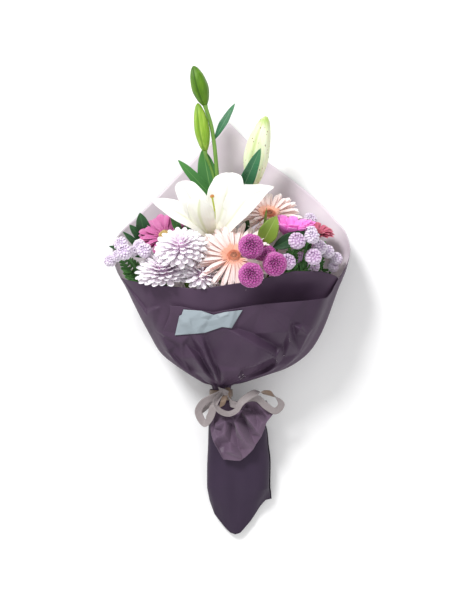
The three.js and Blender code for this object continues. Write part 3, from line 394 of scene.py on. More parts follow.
# %% Soft creases
crease_group, g, given, out = new_group(
    "soft_creases", {"Scale": 18.0, "Sharpness": 0.12}, ["Crease", "Cloud", "Height"])
place = g.add("ShaderNodeTexCoord").outputs["Object"]
bend = set_inputs(g.add("ShaderNodeTexNoise"), Scale=9)
g.wire(place, bend.inputs["Vector"])
warped = g.add("ShaderNodeVectorMath", operation="MULTIPLY_ADD")
g.wire(bend.outputs["Color"], warped.inputs[0])
warped.inputs[1].default_value = (0.05, 0.05, 0.05)
g.wire(place, warped.inputs[2])
cells = g.add("ShaderNodeTexVoronoi", feature="DISTANCE_TO_EDGE")
g.wire(warped.outputs[0], cells.inputs["Vector"])
g.wire(given["Scale"], cells.inputs["Scale"])
crease = g.sum("SUBTRACT", 1.0, g.range(cells.outputs["Distance"], 0.0, given["Sharpness"]))
cloud = g.noise(13, 2)
height = g.sum("MULTIPLY_ADD", cloud, 0.6, g.sum("MULTIPLY", crease, 0.5))
for value, socket in zip((crease, cloud, height), out):
    g.wire(value, socket)


# %% [markdown]
# A petal goes from one tint at its root to another at its tip, and a film has two
# close tints in clouds. These functions build such materials, so the many finishes
# below differ only by the numbers that they are given.

# %% Materials
def new_material(name, roughness, **sockets):
    """A Principled material and short names for its nodes. Constant values go
    straight on the shader's own sockets."""
    material = bpy.data.materials.new(name)
    material.use_nodes = True
    nodes = Nodes(material.node_tree)
    shader = set_inputs(material.node_tree.nodes["Principled BSDF"], Roughness=roughness,
                        **sockets)
    return material, nodes, shader.inputs


def use_group(nodes, group, **values):
    return set_inputs(nodes.add("ShaderNodeGroup", node_tree=group), **values).outputs


def bump(nodes, inputs, height, strength, distance):
    node = set_inputs(nodes.add("ShaderNodeBump"), Strength=strength, Distance=distance)
    nodes.wire(height, node.inputs["Height"])
    nodes.wire(node.outputs[0], inputs["Normal"])


def wire_look(nodes, inputs, shade, grain, smooth, rough, height, strength, distance=0.0006):
    """The last colour, a roughness that follows the grain, and the relief."""
    nodes.wire(shade, inputs["Base Color"])
    nodes.wire(nodes.range(grain, 0.3, 0.7, smooth, rough), inputs["Roughness"])
    bump(nodes, inputs, height, strength, distance)


def petal_material(name, base, tip, root, rib, veins, vein_share, rib_share=0.5,
                   slant=0.0, rib_width=0.12, roughness=0.5, root_end=0.25,
                   tip_start=0.55, own=0.25, glow=0.12):
    """Petal and leaf skin: root, middle and tip tints along it, then rib and veins.
    own is how far petals differ; on the pompons the same mark also carries the painted
    shade of the dimple. glow is how much light goes through them."""
    material, nodes, inputs = new_material(
        name, roughness, Subsurface_Weight=glow, Subsurface_Scale=0.002,
        Subsurface_Radius=(1, 0.9, 0.9))
    marks = use_group(nodes, vein_group, Veins=veins, Slant=slant, Rib_Width=rib_width)
    shade = nodes.tint(colour(root), nodes.range(marks["Along"], 0.0, root_end), base)
    shade = nodes.tint(shade, nodes.range(marks["Along"], tip_start, 1.0), tip)
    shade = nodes.tint(shade, marks["Vein"], root, vein_share)
    shade = nodes.tint(shade, marks["Rib"], rib, rib_share)
    cloud = nodes.noise(90, 3)
    spread = nodes.sum("MULTIPLY_ADD", marks["Own"], own, nodes.sum("MULTIPLY", cloud, 0.3))
    wire_look(nodes, inputs, nodes.tint(shade, spread, root, 0.6), cloud, roughness - 0.08,
              roughness + 0.1, marks["Height"], 0.35)
    return material


def film_material(name, light, dark, roughness, scale, strength, sheen=0.0):
    """Wrapping film: two close tints in soft clouds, with a net of creases."""
    material, nodes, inputs = new_material(name, roughness, Sheen_Weight=sheen,
                                           Specular_IOR_Level=0.2)
    folds = use_group(nodes, crease_group, Scale=scale, Sharpness=0.16)
    shade = nodes.tint(colour(dark), nodes.range(folds["Cloud"], 0.25, 0.75), light)
    shade = nodes.tint(shade, folds["Crease"], light, 0.1)
    wire_look(nodes, inputs, shade, folds["Cloud"], roughness - 0.06, roughness + 0.08,
              folds["Height"], strength, 0.0012)
    return material


table_look, nodes, inputs = new_material("table_top", 0.7)
grain = nodes.noise(40, 5)
nodes.wire(nodes.tint(colour("#f6f6f7"), grain, "#fbfbfb"), inputs["Base Color"])
table_mesh.materials.append(table_look)

# %% [markdown]
# ## The wrapper
# One sheet of matt film is rolled round the flowers once and a third. It lies flat on
# the table, rises round the front, and its two front layers part at the right into a
# pocket. Real film could be simulated, but its folds here are known from the
# photograph, so the sheet is drawn as a rolled surface and each fold is pressed into
# it along its own line.

# %% Film surface
PAPER, THIN = 0.7, 0.3  # the solid film's thickness, and the thickness that is seen
ON_TABLE = PAPER / 2 + 0.05
LAST_TURN = 487  # degrees: the outer layer ends here
WRAP_ROWS = smooth_line([  # height, left, right, front, back
    (-141, -18.9, 6.9, 40.9, 15.1), (-117, -18.9, 6.9, 40.9, 15.1), (-110, -34, 27, 58, 7),
    (-102, -47, 52, 72, 3), (-92, -62, 80, 86, 0.4), (-72, -86, 108, 104, 0.4),
    (-47, -101, 125, 117, 0.4), (13, -132, 149, 138, 0.4), (62, -154, 165, 150, 0.4),
    (255, -154, 165, 150, 0.4),
], 140)
WRAP_RIM = [
    (12, 27), (19, 31), (36, 37.6), (56, 37.7), (73, 28), (86, 22), (107, 14.2), (138, 21),
    (153, 25), (178, 31), (190, 75), (218, 115), (233, 147), (251, 196), (270, 250),
    (290, 194), (334, 111), (346, 95), (355, 78), (362, 66), (372, 44), (379, 29.7),
    (384, 13), (391, 4.7), (410, 0.6), (433, -3.2), (445, -8), (460, -14), (470, -11.5),
    (LAST_TURN, -3.5),
]
PLEATS = [(-141, 0), (-117, 0), (-110, 1), (-92, 2.4), (-47, 1.8), (13, 0)]


def film_point(turn, height, lift=0.0):
    """The rolled film at a turn in degrees and a height, both arrays."""
    turn, height = np.broadcast_arrays(np.asarray(turn, float), np.asarray(height, float))
    hang = ease(turn, 430, 480) * (1 - ease(height, -52, -4))
    angle = np.radians(turn + 16 * hang)
    left, right, front, back = (read(WRAP_ROWS, height, column) for column in (1, 2, 3, 4))
    c, s = np.cos(angle), np.sin(angle)
    rise = np.where(s >= 0, s, -np.minimum(1, 1.05 * np.abs(s) ** 0.75))
    pleat = np.where(s < -0.55, 0, read(PLEATS, height)) * np.cos(angle * 10)
    layer = 1.9 * np.where(height <= -117, 0.8, 1) * ease(turn, 300, 372)
    lift = lift + 2.4 * ease(turn, LAST_TURN - 8, LAST_TURN) * ease(height, -112, -90)
    bulge = 9 * ease(turn, 376, 400) * (1 - ease(turn, 425, 462))
    dent = 15 * ease(turn, 18, 42) * (1 - ease(turn, 62, 98)) * (1 - 0.65 * ease(height, 0, 34))
    out = pleat + layer + (bulge - dent) * ease(height, -80, 0) + lift
    x = (left + right) / 2 + ((right - left) / 2 + out) * c
    y = height - np.where(height > -141, 0.8 * (layer + lift), 0)
    z = (front + back) / 2 + (front - back) / 2 * rise + out * np.maximum(s, 0)
    return np.stack([x, y, np.maximum(ON_TABLE, z)], -1)


# %% [markdown]
# The front of the film is crumpled into flat facets that meet in sharp creases. Each
# crease is marked here by a line with heights. A triangulation that never crosses the
# lines gives the facets between them, and a point's lift is read off its facet.

# %% Folds of the film
FRONT_CREASES = [
    [(-38.4, -41.4, 3.2), (-27.8, -64.8, 9.6), (-19.4, -86, 11.2), (-9.8, -107.2, 4.8)],
    [(-30, -43.6, 0.5), (-19.4, -69, -3), (-10.9, -88.1, -3), (-6.2, -107.2, 0.5)],
    [(-54.3, -56.3, 2.4), (-40.6, -75.4, 9.6), (-27.8, -94.5, 9.6), (-17.2, -107.2, 3.2)],
    [(-46.9, -45.7, 0.3), (-34.2, -71.1, -3), (-22.5, -92.4, -2), (-14, -106.8, 0.5)],
    [(-64, -62, 0.5), (-57, -58, 6), (-48, -49.9, 0.5)],
    [(-72.4, -69, 0.8), (-55.4, -77.5, 6.72), (-46.9, -92.4, 1)],
    [(-105.3, -10.7, 0), (-94.6, -12.8, 5.6), (-80.9, -6.5, 0.5)],
    [(-104.2, -19.2, 5.6), (-95.7, -39.3, 1), (-80.9, -66.9, 5.6), (-46.9, -97.7, 4)],
    [(4, -38.3, 4.8), (18.8, -46.3, 9.6), (42.2, -60.1, 11.2), (65.5, -75, 9.6)],
    [(14.6, -36.8, 0), (35.8, -43.6, -3), (67.6, -61.6, -4)],
    [(-17.2, -79.6, 0.8), (-4.5, -94.5, 8), (21, -90.5, 10), (44, -82.5, 10), (62, -76, 7)],
    [(21, -94.2, -6), (36, -89.6, -9), (50, -84.6, -9), (60, -81, -5)],
    [(24, -103, -6), (38, -98.5, -8), (54, -91, -7), (64, -84, -4)],
    [(67.6, -73.3, 8), (76.1, -58.4, -2), (81.4, -41.4, 9.6), (87.8, -32.5, 0.6)],
    [(78.2, -76.4, -2), (84.2, -56.3, 8), (92, -46.8, -2), (97.3, -37.6, 8),
     (101.1, -30.8, 0.4)],
    [(28, -106.5, 2), (46, -101.5, 4), (60, -94, 6), (69, -87, 3)],
    [(48.5, -6.5, 0), (84.6, -24.5, 3.2), (116.4, -37.2, 0.4)],
    [(115.3, -24.5, 0.6), (107.9, -45.7, 6.4), (98.4, -71.1, 0.5), (82.5, -86.4, 3.2),
     (64.4, -95.5, 0.4)],
    [(-7.7, -117.8, 1), (-1.3, -105.1, 9.6), (16.7, -98.7, 10.4), (23.7, -109.3, 3.2)],
    [(-34.2, 7.3, 0), (-17.2, -18.1, 0.6), (14.6, -3.3, 0)],
    [(67.6, 9.5, 0), (110, 9.5, 0)],
]


def facets_between(creases, left, first, right, last):
    """Flat facets between creases, inside a frame at height 0. Each crease is a line of
    x, y and height, and the triangles of the facets never cross it."""
    border = [(left, first, 0), (left, last, 0), (right, last, 0), (right, first, 0),
              (left, first, 0)]
    creases = [border, *creases]
    spots = [spot for crease in creases for spot in crease]
    ends = np.cumsum([len(crease) for crease in creases])
    edges = [(k, k + 1) for k in range(len(spots) - 1) if k + 1 not in ends]
    corners, _, faces, origins, *_ = delaunay_2d_cdt(
        [Vector(spot[:2]) for spot in spots], edges, [], 0, 0.01)
    heights = [np.mean([spots[k][2] for k in origin]) if origin else 0.5 for origin in origins]
    return [np.array([[*corners[k], heights[k]] for k in face]) for face in faces]


FOLD_STRENGTH = 1.3  # the heights above are drawn flatter than the film's folds


def fold_depth(x, y, facets):
    """How far the facets lift the film at a point, seen from the front."""
    lift, nearly = np.zeros_like(x), 1e-6
    for a, b, c in facets:
        first, second = b - a, c - a
        size = first[0] * second[1] - first[1] * second[0]
        if abs(size) < nearly:
            continue
        u = ((x - a[0]) * second[1] - (y - a[1]) * second[0]) / size
        v = ((y - a[1]) * first[0] - (x - a[0]) * first[1]) / size
        inside = (u > -nearly) & (v > -nearly) & (u + v < 1 + nearly)
        lift = np.where(inside, a[2] + u * first[2] + v * second[2], lift)
    return FOLD_STRENGTH * lift


FRONT_FACETS = facets_between(FRONT_CREASES, -150, 45, 150, -130)


def soft_noise(x, y, size, seed):
    """Smooth ups and downs from a few seeded waves."""
    source = np.random.default_rng(seed)
    total = np.zeros_like(x)
    for _ in range(10):
        angle, phase = source.uniform(0, 2 * np.pi, 2)
        reach = size * source.uniform(0.6, 1.8)
        total += np.sin((x * np.cos(angle) + y * np.sin(angle)) / reach * 2 * np.pi + phase)
    return total / 4


def soft_waves(x, y):
    return 0.3 + np.maximum(0, 0.7 * soft_noise(x, y, 50, 3) + 0.4)


# %% [markdown]
# The film is plum outside and pale lilac inside, so the sheet has one material on each
# side. It is one long grid: round the bouquet by rows and columns, gathered in pleats
# towards the tie, with the folds added at the front.

# %% Film materials and sheet
film_plum = film_material("film_plum", "#4f3d51", "#3f2f42", 0.48, scale=14, strength=0.2)
film_pale = film_material("film_pale", "#e9e0e6", "#c8bac6", 0.4, scale=10, strength=0.12)

turns = np.concatenate([np.arange(12, 130, 2.0), np.arange(130, 204, 0.9),
                        np.arange(204, 380, 2.2), np.linspace(380, LAST_TURN, 130)])
rim = read(WRAP_RIM, turns)
low_rows = np.concatenate([np.linspace(-141, -117, 5), np.linspace(-115, -50, 34)])
upper = np.linspace(0, 1, 48)[:, None]
heights = np.vstack([np.repeat(low_rows[:, None], len(turns), 1), -48 + (rim + 48) * upper])
film = film_point(turns[None, :], heights)
outward = -grid_normals(film)
on_top = ease(turns, 384, 394) + ease(turns, 132, 142) * (1 - ease(turns, 200, 215))
front = ease(film[..., 2], 45, 75) * ease(heights, -120, -104)
gathers = 2.2 * (1 - ease(heights, -118, -60)) * ease(heights, -121, -112) * on_top
gathers = gathers * np.abs(np.sin(np.radians(turns[None, :]) * 9)) ** 1.5
gathers = gathers * ease(film[..., 2], 10, 30)
folds = fold_depth(film[..., 0], film[..., 1], FRONT_FACETS)
folds += soft_waves(film[..., 0], film[..., 1])
# Both front layers sink into a valley, but only the outer one stands up in a ridge.
film[..., 2] += front * np.where(folds > 0, folds * on_top, folds)
film += outward * gathers[..., None]
film[..., 2] = np.maximum(film[..., 2], ON_TABLE)
wrapper = sheet_piece("wrapper", film, THIN, [film_plum, film_pale], "wrap_sheet",
                      "wrapper_plum", upper=1)

# %% [markdown]
# ## Below the tie
# The end of the same sheet fans out under the ribbon as a ruffle. There the film is
# seen at a slant and shines like satin; its material is a lighter copy of the plum, so
# that sheen is painted into the colour. Its folds run from the tie to the hem, so they
# are drawn as ridges and valleys along those lines.

# %% Ruffle
# A lighter copy of the plum film: the ruffle's sheen is painted into its colour.
film_painted_sheen = film_material("film_painted_sheen", "#685468", "#513f54", 0.45, scale=22, strength=0.05,
                           sheen=0.15)
HEM = [(0, -9, -206, 52), (0.1, -2.5, -218, 53), (0.3, 20, -219.5, 53), (0.38, 27, -215, 53),
       (0.55, 38, -203, 52), (0.68, 49, -186, 51), (0.8, 56, -166, 50), (0.9, 65, -156, 47),
       (1, 56, -137, 44)]
RUFFLE_CREASES = [
    [(-15.7, -165.2, 2), (-11.5, -170.8, 7), (-5.3, -178, 2), (-12, -187.5, 6),
     (-6.9, -200.8, 1)],
    [(-2.5, -151.2, 1), (-0.4, -165.2, 6), (-1.8, -181.9, 7), (-5.3, -195.9, 1)],
    [(8, -169.4, 0), (7.3, -181.9, -1.5), (6.2, -193.1, -0.5), (0.3, -198.7, 0.5),
     (-6.4, -202, 1)],
    [(3.1, -164.2, 5), (11.5, -165.2, 8), (16.5, -175, 9), (26.1, -191.7, 8), (38, -202.3, 3)],
    [(12.9, -172.9, 0.5), (15, -187.5, -0.5), (18.5, -204.3, 0.5), (24, -217.1, 0)],
    [(21.9, -151.2, 6), (33.1, -165.2, 9), (42.9, -179.2, 7), (48.2, -185.6, 3)],
    [(21.9, -156.8, 0.5), (29.6, -172.2, 0), (35.2, -185.4, 0), (40.8, -197.3, 0)],
    [(26.8, -147.3, 0.5), (40.8, -154.9, 0), (55, -161.3, 0)],
    [(29.6, -140.8, 6), (38.7, -138, 8), (49.2, -149.9, 7), (56.1, -159.3, 4)],
    [(44.3, -169.4, 5), (49.8, -165.9, 9), (55.8, -164.6, 6)],
    [(-2.5, -207.7, 3), (7.3, -205.7, 7), (18.5, -211.2, 4)],
    [(-15, -151.2, 1), (-15, -176.4, 1)],
]

RUFFLE_FACETS = facets_between(RUFFLE_CREASES, -45, -120, 80, -230)

share = np.linspace(0, 1, 60)[:, None]
spin = np.linspace(480, 332, 130)[None, :]
along_hem = (480 - spin) / 148
start = film_point(spin, np.full_like(spin, -140))
hem = np.stack([read(HEM, along_hem, column) for column in (1, 2, 3)], -1)
ruffle = start + (hem - start) * share[..., None]
swell = 2 * np.cos(2 * np.pi * 4 * along_hem) * np.minimum(1, share * 2.5)
ruffle[..., 2] += swell + 5 * np.sin(np.pi * np.minimum(1, share * 1.3))
ruffle[..., 0] -= 8 * np.sin(np.pi * share ** 1.2) * (1 - ease(along_hem, 0, 0.3))
folds = fold_depth(ruffle[..., 0], ruffle[..., 1], RUFFLE_FACETS)
ruffle[..., 2] += 1.25 * folds * ease(share, 0.02, 0.3)
skirt = sheet_piece("ruffle", ruffle, PAPER, [film_painted_sheen], "wrap_sheet", "wrapper_plum")

# %% [markdown]
# The stems are wrapped in a second sheet. It leaves a round mouth under the tie, lies
# flat below, and ends in a blunt point. The table side stays flat; long soft bands run
# down its front where the stems press through.

# %% Stem wrap
film_tail = film_material("film_tail", "#372a3e", "#2c2132", 0.5, scale=10, strength=0.08)
TAIL_ROWS = smooth_line([
    (-300, -22, 63, 9, 0.4), (-262, -25.5, 61, 34, 0.4), (-238, -26, 61, 41, 0.4),
    (-208, -24.5, 60, 43, 0.4), (-170, -23, 50, 45, 0.4), (-156, -21, 24, 44, 8),
    (-144, -17.4, 5.4, 39.4, 16.6),
], 90)


def tail_point(turn, height):
    left, right, top, under = (read(TAIL_ROWS, height, column) for column in (1, 2, 3, 4))
    angle = np.radians(turn)
    out = 2.2 * ease(turn, 240, 330)
    x = (left + right) / 2 + ((right - left) / 2 + out) * np.cos(angle)
    z = (top + under) / 2 + ((top - under) / 2 + out * 0.5) * np.sin(angle)
    return np.stack([x, height + 0 * x, np.maximum(ON_TABLE, z)], -1)


turns_tail = np.arange(-28, 354.1, 2.5)[None, :]
body = tail_point(turns_tail, np.linspace(-262, -144, 60)[:, None])
tip = tail_point(turns_tail, np.array([[-300.0]]))
TAIL_HEM = [(-26, -262), (-24, -277), (-15, -301), (0, -320), (7, -326.5), (14, -329), (21, -326.5),
            (36, -309), (48, -290), (56, -281), (60, -280), (66, -279.5)]
tip[..., 1] = read(TAIL_HEM, tip[..., 0])
share = np.linspace(1, 0, 26)[:-1, None, None]
drop = body[:1] + (tip - body[:1]) * share
tail = np.concatenate([drop, body])
outward = -grid_normals(tail)
bands = 1.3 * np.cos(tail[..., 0] / 8.5 + 0.6) + 0.5 * np.cos(tail[..., 0] / 3.9)
bands = bands * ease(tail[..., 2], 8, 22) * ease(-tail[..., 1], 150, 180)
tail += outward * (bands + 0.5 * soft_noise(tail[..., 0], tail[..., 1], 40, 8)
                   * ease(tail[..., 2], 8, 22))[..., None]
tail[..., 2] = np.maximum(tail[..., 2], ON_TABLE)
stem_wrap = sheet_piece("stem_wrap_film", tail, PAPER, [film_tail], "stem_wrap",
                        "wrapper_satin")

# %% [markdown]
# A bare silvery strip holds the outer layer down. It was stuck on in a hurry: its
# upper edge dips, its left end is notched, and it has wrinkled. It follows the film
# under it point by point.

# %% Label strip
label_film = film_material("label_film", "#9ca7ae", "#89949b", 0.4, scale=30, strength=0.3)


def on_front(x, height, lift):
    """The outer layer's front at a given x and height, a little above its folds."""
    low, high = np.full_like(x, 400), np.full_like(x, LAST_TURN)
    for _ in range(24):
        middle = (low + high) / 2
        right_of = film_point(middle, height)[..., 0] > x
        low, high = np.where(right_of, middle, low), np.where(right_of, high, middle)
    place = film_point(low, height, lift)
    place[..., 2] += (fold_depth(place[..., 0], place[..., 1], FRONT_FACETS)
                      + soft_waves(place[..., 0], place[..., 1]))
    return place


LABEL_TOP = [(0, -9.8), (0.31, -11.5), (0.51, -16.8), (0.7, -13), (1, -10.4)]
LABEL_FOOT = [(0, -44), (0.53, -40.3), (0.83, -32.5), (1, -33.8)]
LABEL_LEFT = [(0, -65.7), (0.77, -59.3), (0.79, -56.5), (1, -54)]
across, up = np.meshgrid(np.linspace(0, 1, 60), np.linspace(0, 1, 26))
left = read(LABEL_LEFT, up)
x = left + (8.2 + 13.8 * up - left) * across
height = read(LABEL_FOOT, across) + (read(LABEL_TOP, across) - read(LABEL_FOOT, across)) * up
LABEL_LIFT, LABEL_THICKNESS = 1.3, 0.4
strip = on_front(x, height, LABEL_LIFT)
WRINKLES = [
    [(-62, -33, 0.2), (-46, -28, 2), (-34, -24, 0.2)],
    [(-31, -15, 0.2), (-26, -20, 2.6), (-22, -26, 0.4)],
    [(-21, -27, 1.6), (-8, -23, 2), (5, -21, 0.2)], [(-52, -14, 0), (-47, -24, 1.6), (-42, -38, 0)],
    [(-12, -18, 0), (-9, -24, 1.2)], [(6, -13, 0), (2, -19, 1.6), (-2, -30, 0)],
]
WRINKLE_FACETS = facets_between(WRINKLES, -70, -50, 30, 0)
strip[..., 2] += fold_depth(strip[..., 0], strip[..., 1], WRINKLE_FACETS)
label = sheet_piece("bare_label", strip, LABEL_THICKNESS, [label_film], "label_strip",
                    "label_bare")

# %% [markdown]
# A brown string binds the stems inside the film in tight turns. The ribbon's band
# goes round the film outside it, on a wider circle.

# %% Tie string
string_look, nodes, inputs = new_material("string", 0.8)
twist = nodes.noise(900, 4, stretch=(1.0, 3.0, 1.0))
nodes.wire(nodes.tint(colour("#6e5132"), twist, "#a5845a"), inputs["Base Color"])
bump(nodes, inputs, twist, 0.5, 0.0004)
TIE = np.array([-6.0, -129.0, 28.0])
WINDINGS, STRING_RADIUS = 6, 0.72
STRING_TURN, BAND_TURN = 11.4, 15.6  # how far the string and the ribbon's band lie out


def round_tie(angle, radius, along=0.0):
    """Points of a circle round the tie, shifted along the bouquet."""
    return TIE + np.stack([radius * np.cos(angle), along + 0 * angle,
                           radius * np.sin(angle)], -1)


wound = np.linspace(0, 2 * np.pi * WINDINGS, WINDINGS * 36)
coil = round_tie(wound, STRING_TURN, -4.2 + 8.4 * wound / wound[-1])
heap = Heap()
heap.add(*tube_shape(coil, np.full(len(coil), STRING_RADIUS), 8))
string = heap.piece("string", [string_look], ["tie_string"], "tie")

# %% [markdown]
# The ribbon is sheer, finely ribbed and mauve grey. Its inner side is painted brown, as
# the shade inside the loops and under the band. The ribs follow the mark that runs
# across the strip, so they bend with the ribbon.

# %% Ribbon materials
def ribbon_material(name, light, dark):
    material, nodes, inputs = new_material(
        name, 0.5, Sheen_Weight=0.35, Subsurface_Weight=0.15, Subsurface_Scale=0.002,
        Subsurface_Radius=(1, 0.95, 0.95))
    across = nodes.marks()[0]
    ribs = nodes.range(nodes.sum("SINE", nodes.sum("MULTIPLY", across, 30.0)), -1.0, 1.0)
    edge = nodes.range(nodes.sum("ABSOLUTE", across), 0.8, 0.95)
    weft = nodes.noise(420, 3)
    lines = nodes.sum("MULTIPLY_ADD", ribs, 0.45, nodes.sum("MULTIPLY", weft, 0.5))
    shade = nodes.tint(nodes.tint(colour(dark), lines, light), edge, light, 0.5)
    wire_look(nodes, inputs, shade, weft, 0.42, 0.58, ribs, 0.4, 0.0003)
    return material


ribbon_face = ribbon_material("ribbon_face", "#9d9492", "#80767a")
# The inner side: a brown copy of the ribbon, painted shade.
ribbon_back_painted_shade = ribbon_material("ribbon_back_painted_shade", "#86705f", "#695341")

# %% [markdown]
# Each stretch of the bow is a line of points with the way in which its width runs, as
# one would hold a real ribbon between finger and thumb. A strip carried along such a
# line twists freely and never changes width, which a solid with thickness would do.

# %% Bow
RIBBON_WIDTH, RIBBON_THICKNESS, RIBBON_CURL = 10, 0.45, 0.6
BOW = [
    ([(-2, -126, 49, 0.3, 1, 0.2), (-15, -132, 54, -0.2, 0.9, 0.3),
      (-30, -140, 54, -0.6, 0.75, 0.3), (-37, -153, 52, -1, 0.1, 0.2),
      (-28, -168, 54, -0.2, -0.95, 0.2), (-20, -157, 59, 0.95, -0.3, 0.2),
      (-16, -143, 60, 0.95, 0.1, 0.3), (-6, -131, 50, 0.6, 0.6, 0.3)], 10.5),
    ([(-12, -136, 44, 0.4, 0.9, 0), (-24, -146, 45, 0.4, 0.9, 0),
      (-34, -154, 46, 0.4, 0.9, 0)], 12),
    ([(-5, -127, 49, -0.6, 0.3, 0.7), (-14, -138, 60, -0.6, 0.1, 0.8),
      (-9, -149, 65, -0.4, -0.5, 0.75), (4, -154, 67, 0, -0.65, 0.75),
      (15, -149, 67, 0.45, -0.5, 0.75), (20, -140, 67, 0.7, -0.5, 0.5),
      (29, -132, 66, 0.55, -0.8, 0.2), (39, -126, 65, 0.45, -0.8, 0.4),
      (46, -124, 65, 0.2, -0.1, 0.97), (52, -125, 63, 0.1, 0.55, 0.8),
      (62, -127, 61, -0.2, 0.8, 0.55), (70, -132, 60, -0.75, 0.4, 0.5),
      (76, -142, 58, -0.95, 0.1, 0.3), (68, -151, 58, -0.2, 0.95, 0.3),
      (55, -144, 59, 0.5, 0.8, 0.3), (43, -134, 59, 0.5, 0.8, 0.3), (30, -136, 58, 0.5, 0.8, 0.2),
      (19, -143, 57, 0.7, 0.7, 0.2), (8, -141, 54, 0.2, 0.9, 0.3),
      (2, -132, 50, -0.6, 0.8, 0.3)], RIBBON_WIDTH),
    ([(-1, -131, 55, 0.9, 0.3, 0.2), (-3, -138, 59, 0.9, 0.3, 0.2),
      (-5, -145, 58, 0.8, 0.5, 0.2)], 9),
]


def carried_strip(marks, width):
    """A ribbon along marked points, each with the way that its width runs."""
    marks = np.array(marks, float)
    steps = len(marks) * (2 if len(marks) > 20 else 9)
    line, ways = smooth_line(marks[:, :3], steps), unit(smooth_line(marks[:, 3:], steps))
    reach = np.linspace(-1, 1, 9)[:, None, None]
    grid = line + ways * (reach * width / 2)
    return grid + grid_normals(grid) * (RIBBON_CURL * (1 - reach ** 2))


heap = Heap()
band = round_tie(np.linspace(0, 2 * np.pi, 73), BAND_TURN)
band_marks = np.hstack([band, np.tile([0, -1, 0], (len(band), 1))])
KNOT = [(-9, -124, 46, 0.3, -1, 0), (-5, -125, 51, 0.3, -1, 0), (1, -127, 52.4, 0.2, -1, 0),
        (6, -130, 50.5, 0.2, -1, 0), (8, -132, 45, 0.2, -1, 0)]
KNOT_TUCK = [(3, -120, 47, 1, 0.1, 0.3), (3.5, -127, 50.5, 1, 0.2, 0.2),
             (4, -137, 50, 1, -0.2, 0.3)]
for marks, width in [*BOW, (band_marks, RIBBON_WIDTH), (KNOT, RIBBON_WIDTH), (KNOT_TUCK, 7)]:
    grid = carried_strip(marks, width)
    points, faces, looks = sheet_shape(grid, RIBBON_THICKNESS, upper=1)
    heap.add(points, faces, grid_marks(*grid.shape[:2], 0, lengthwise=True), looks)
bow = heap.piece("bow", [ribbon_face, ribbon_back_painted_shade], ["ribbon"], "ribbon")

# %% [markdown]
# ## The lily
# Six waxy petals curl back from a green throat. Each is a blade: a smooth line, a list
# of widths along it, and a way to look. A groove runs along the middle of the inner
# face, and the edges wave a little, which gives the petal its long soft highlights.

# %% Blades
def smooth_read(steps, where):
    """Like read, but without corners between the steps."""
    line = smooth_line([step[:2] for step in steps], 80)
    return np.interp(where, np.maximum.accumulate(line[:, 0]), line[:, 1])


def blade_grid(line, half_widths, look, cup, columns, groove, wave, waves, phase):
    """A leaf or petal as a grid. Its upper face looks towards look."""
    line = np.asarray(line, float)
    tangent = unit(np.gradient(line, axis=0))
    side = unit(np.cross(tangent, unit(look)))
    normal = np.cross(side, tangent)
    across = np.linspace(-1, 1, columns + 1)[None, :, None]
    half = np.asarray(half_widths, float)[:, None, None]
    along = np.linspace(0, 1, len(line))[:, None, None]
    lift = cup * half * across ** 2 - groove * np.exp(-(across / 0.16) ** 2) * (1 - along) ** 0.3
    ripple = wave * np.abs(across) ** 3 * np.sin(along * waves * 2 * np.pi + phase + across)
    ripple = ripple * np.sin(np.pi * np.clip(along, 0.03, 0.97))
    return line[:, None] + side[:, None] * (across * half) + normal[:, None] * (lift + ripple)


def add_blade(heap, grid, thickness, tint, upper=0, lower=0):
    points, faces, looks = sheet_shape(grid, thickness, upper, lower, upper)
    heap.add(points, faces, grid_marks(*grid.shape[:2], tint), looks)


# %% [markdown]
# Six petals grow from one throat, some wide and some slim, and each curls its own
# way. They are set one by one from the photograph: a bloom is too uneven for a ring.

# %% Lily petals
lily_inside = petal_material(
    "lily_inside", "#ecebe6", "#f0efed", "#efe9d8", "#d3d7b4", veins=6, slant=1.2,
    vein_share=0.14, rib_share=0.6, rib_width=0.16, roughness=0.42, root_end=0.42,
    own=0.0, glow=0.25)
lily_outside = petal_material(
    "lily_outside", "#efefe2", "#f1f1ea", "#e7e9ca", "#c8d296", veins=5, slant=0.8,
    vein_share=0.2, rib_share=0.6, rib_width=0.2, roughness=0.45, root_end=0.5,
    own=0.0, glow=0.2)
LILY_THICKNESS = 0.7
LILY_BASE = np.array([-15.0, 78, 88])
LILY_FACE = unit([-0.2, 0.74, 0.64])
BROAD = [(0, 5), (0.25, 18), (0.6, 24), (0.85, 20), (0.95, 13), (1, 4)]
WIDE = [(0, 4), (0.3, 18), (0.6, 24), (0.85, 14), (1, 1)]
ROUND = [(0, 4), (0.3, 14), (0.6, 19), (0.85, 15), (0.95, 9), (1, 2)]
FRONT = [(0, 5), (0.3, 15), (0.6, 19), (0.85, 15), (0.95, 8), (1, 2)]
SLIM = [(0, 3), (0.3, 11), (0.6, 15), (0.85, 10), (1, 0.8)]
LILY_PETALS = [
    ((-14, 84, 92), [(-7, 110, 98), (2, 142, 104), (5, 169, 95)], BROAD, (-0.2, -0.3, 0.9)),
    ((-12, 84, 94), [(5, 104, 104), (31, 135, 120), (64, 151, 92)], WIDE, (-0.5, 0.3, 0.8)),
    ((-12, 83, 92), [(0, 102, 93), (12, 124, 93), (18, 142, 91)], SLIM, (-0.3, -0.3, 0.9)),
    ((-18, 83, 96), [(-28, 97, 111), (-34, 113, 131), (-33, 130, 146)], FRONT, (0.3, 0.5, -0.7)),
    ((-17, 84, 92), [(-29, 106, 96), (-45, 134, 102), (-60, 158, 88)], ROUND, (0.4, -0.1, 0.9)),
    ((-18, 83, 93), [(-33, 96, 103), (-62, 115, 112), (-98, 133, 102)], SLIM, (0.4, 0.3, 0.8)),
]
heap = Heap()
throat = [LILY_BASE, LILY_BASE + LILY_FACE * 6, LILY_BASE + LILY_FACE * 12]
points, faces, marks = tube_shape(throat, [4, 5.5, 7.5], 18)
heap.add(points, faces, marks * [1, 0.2, 1], look=1)
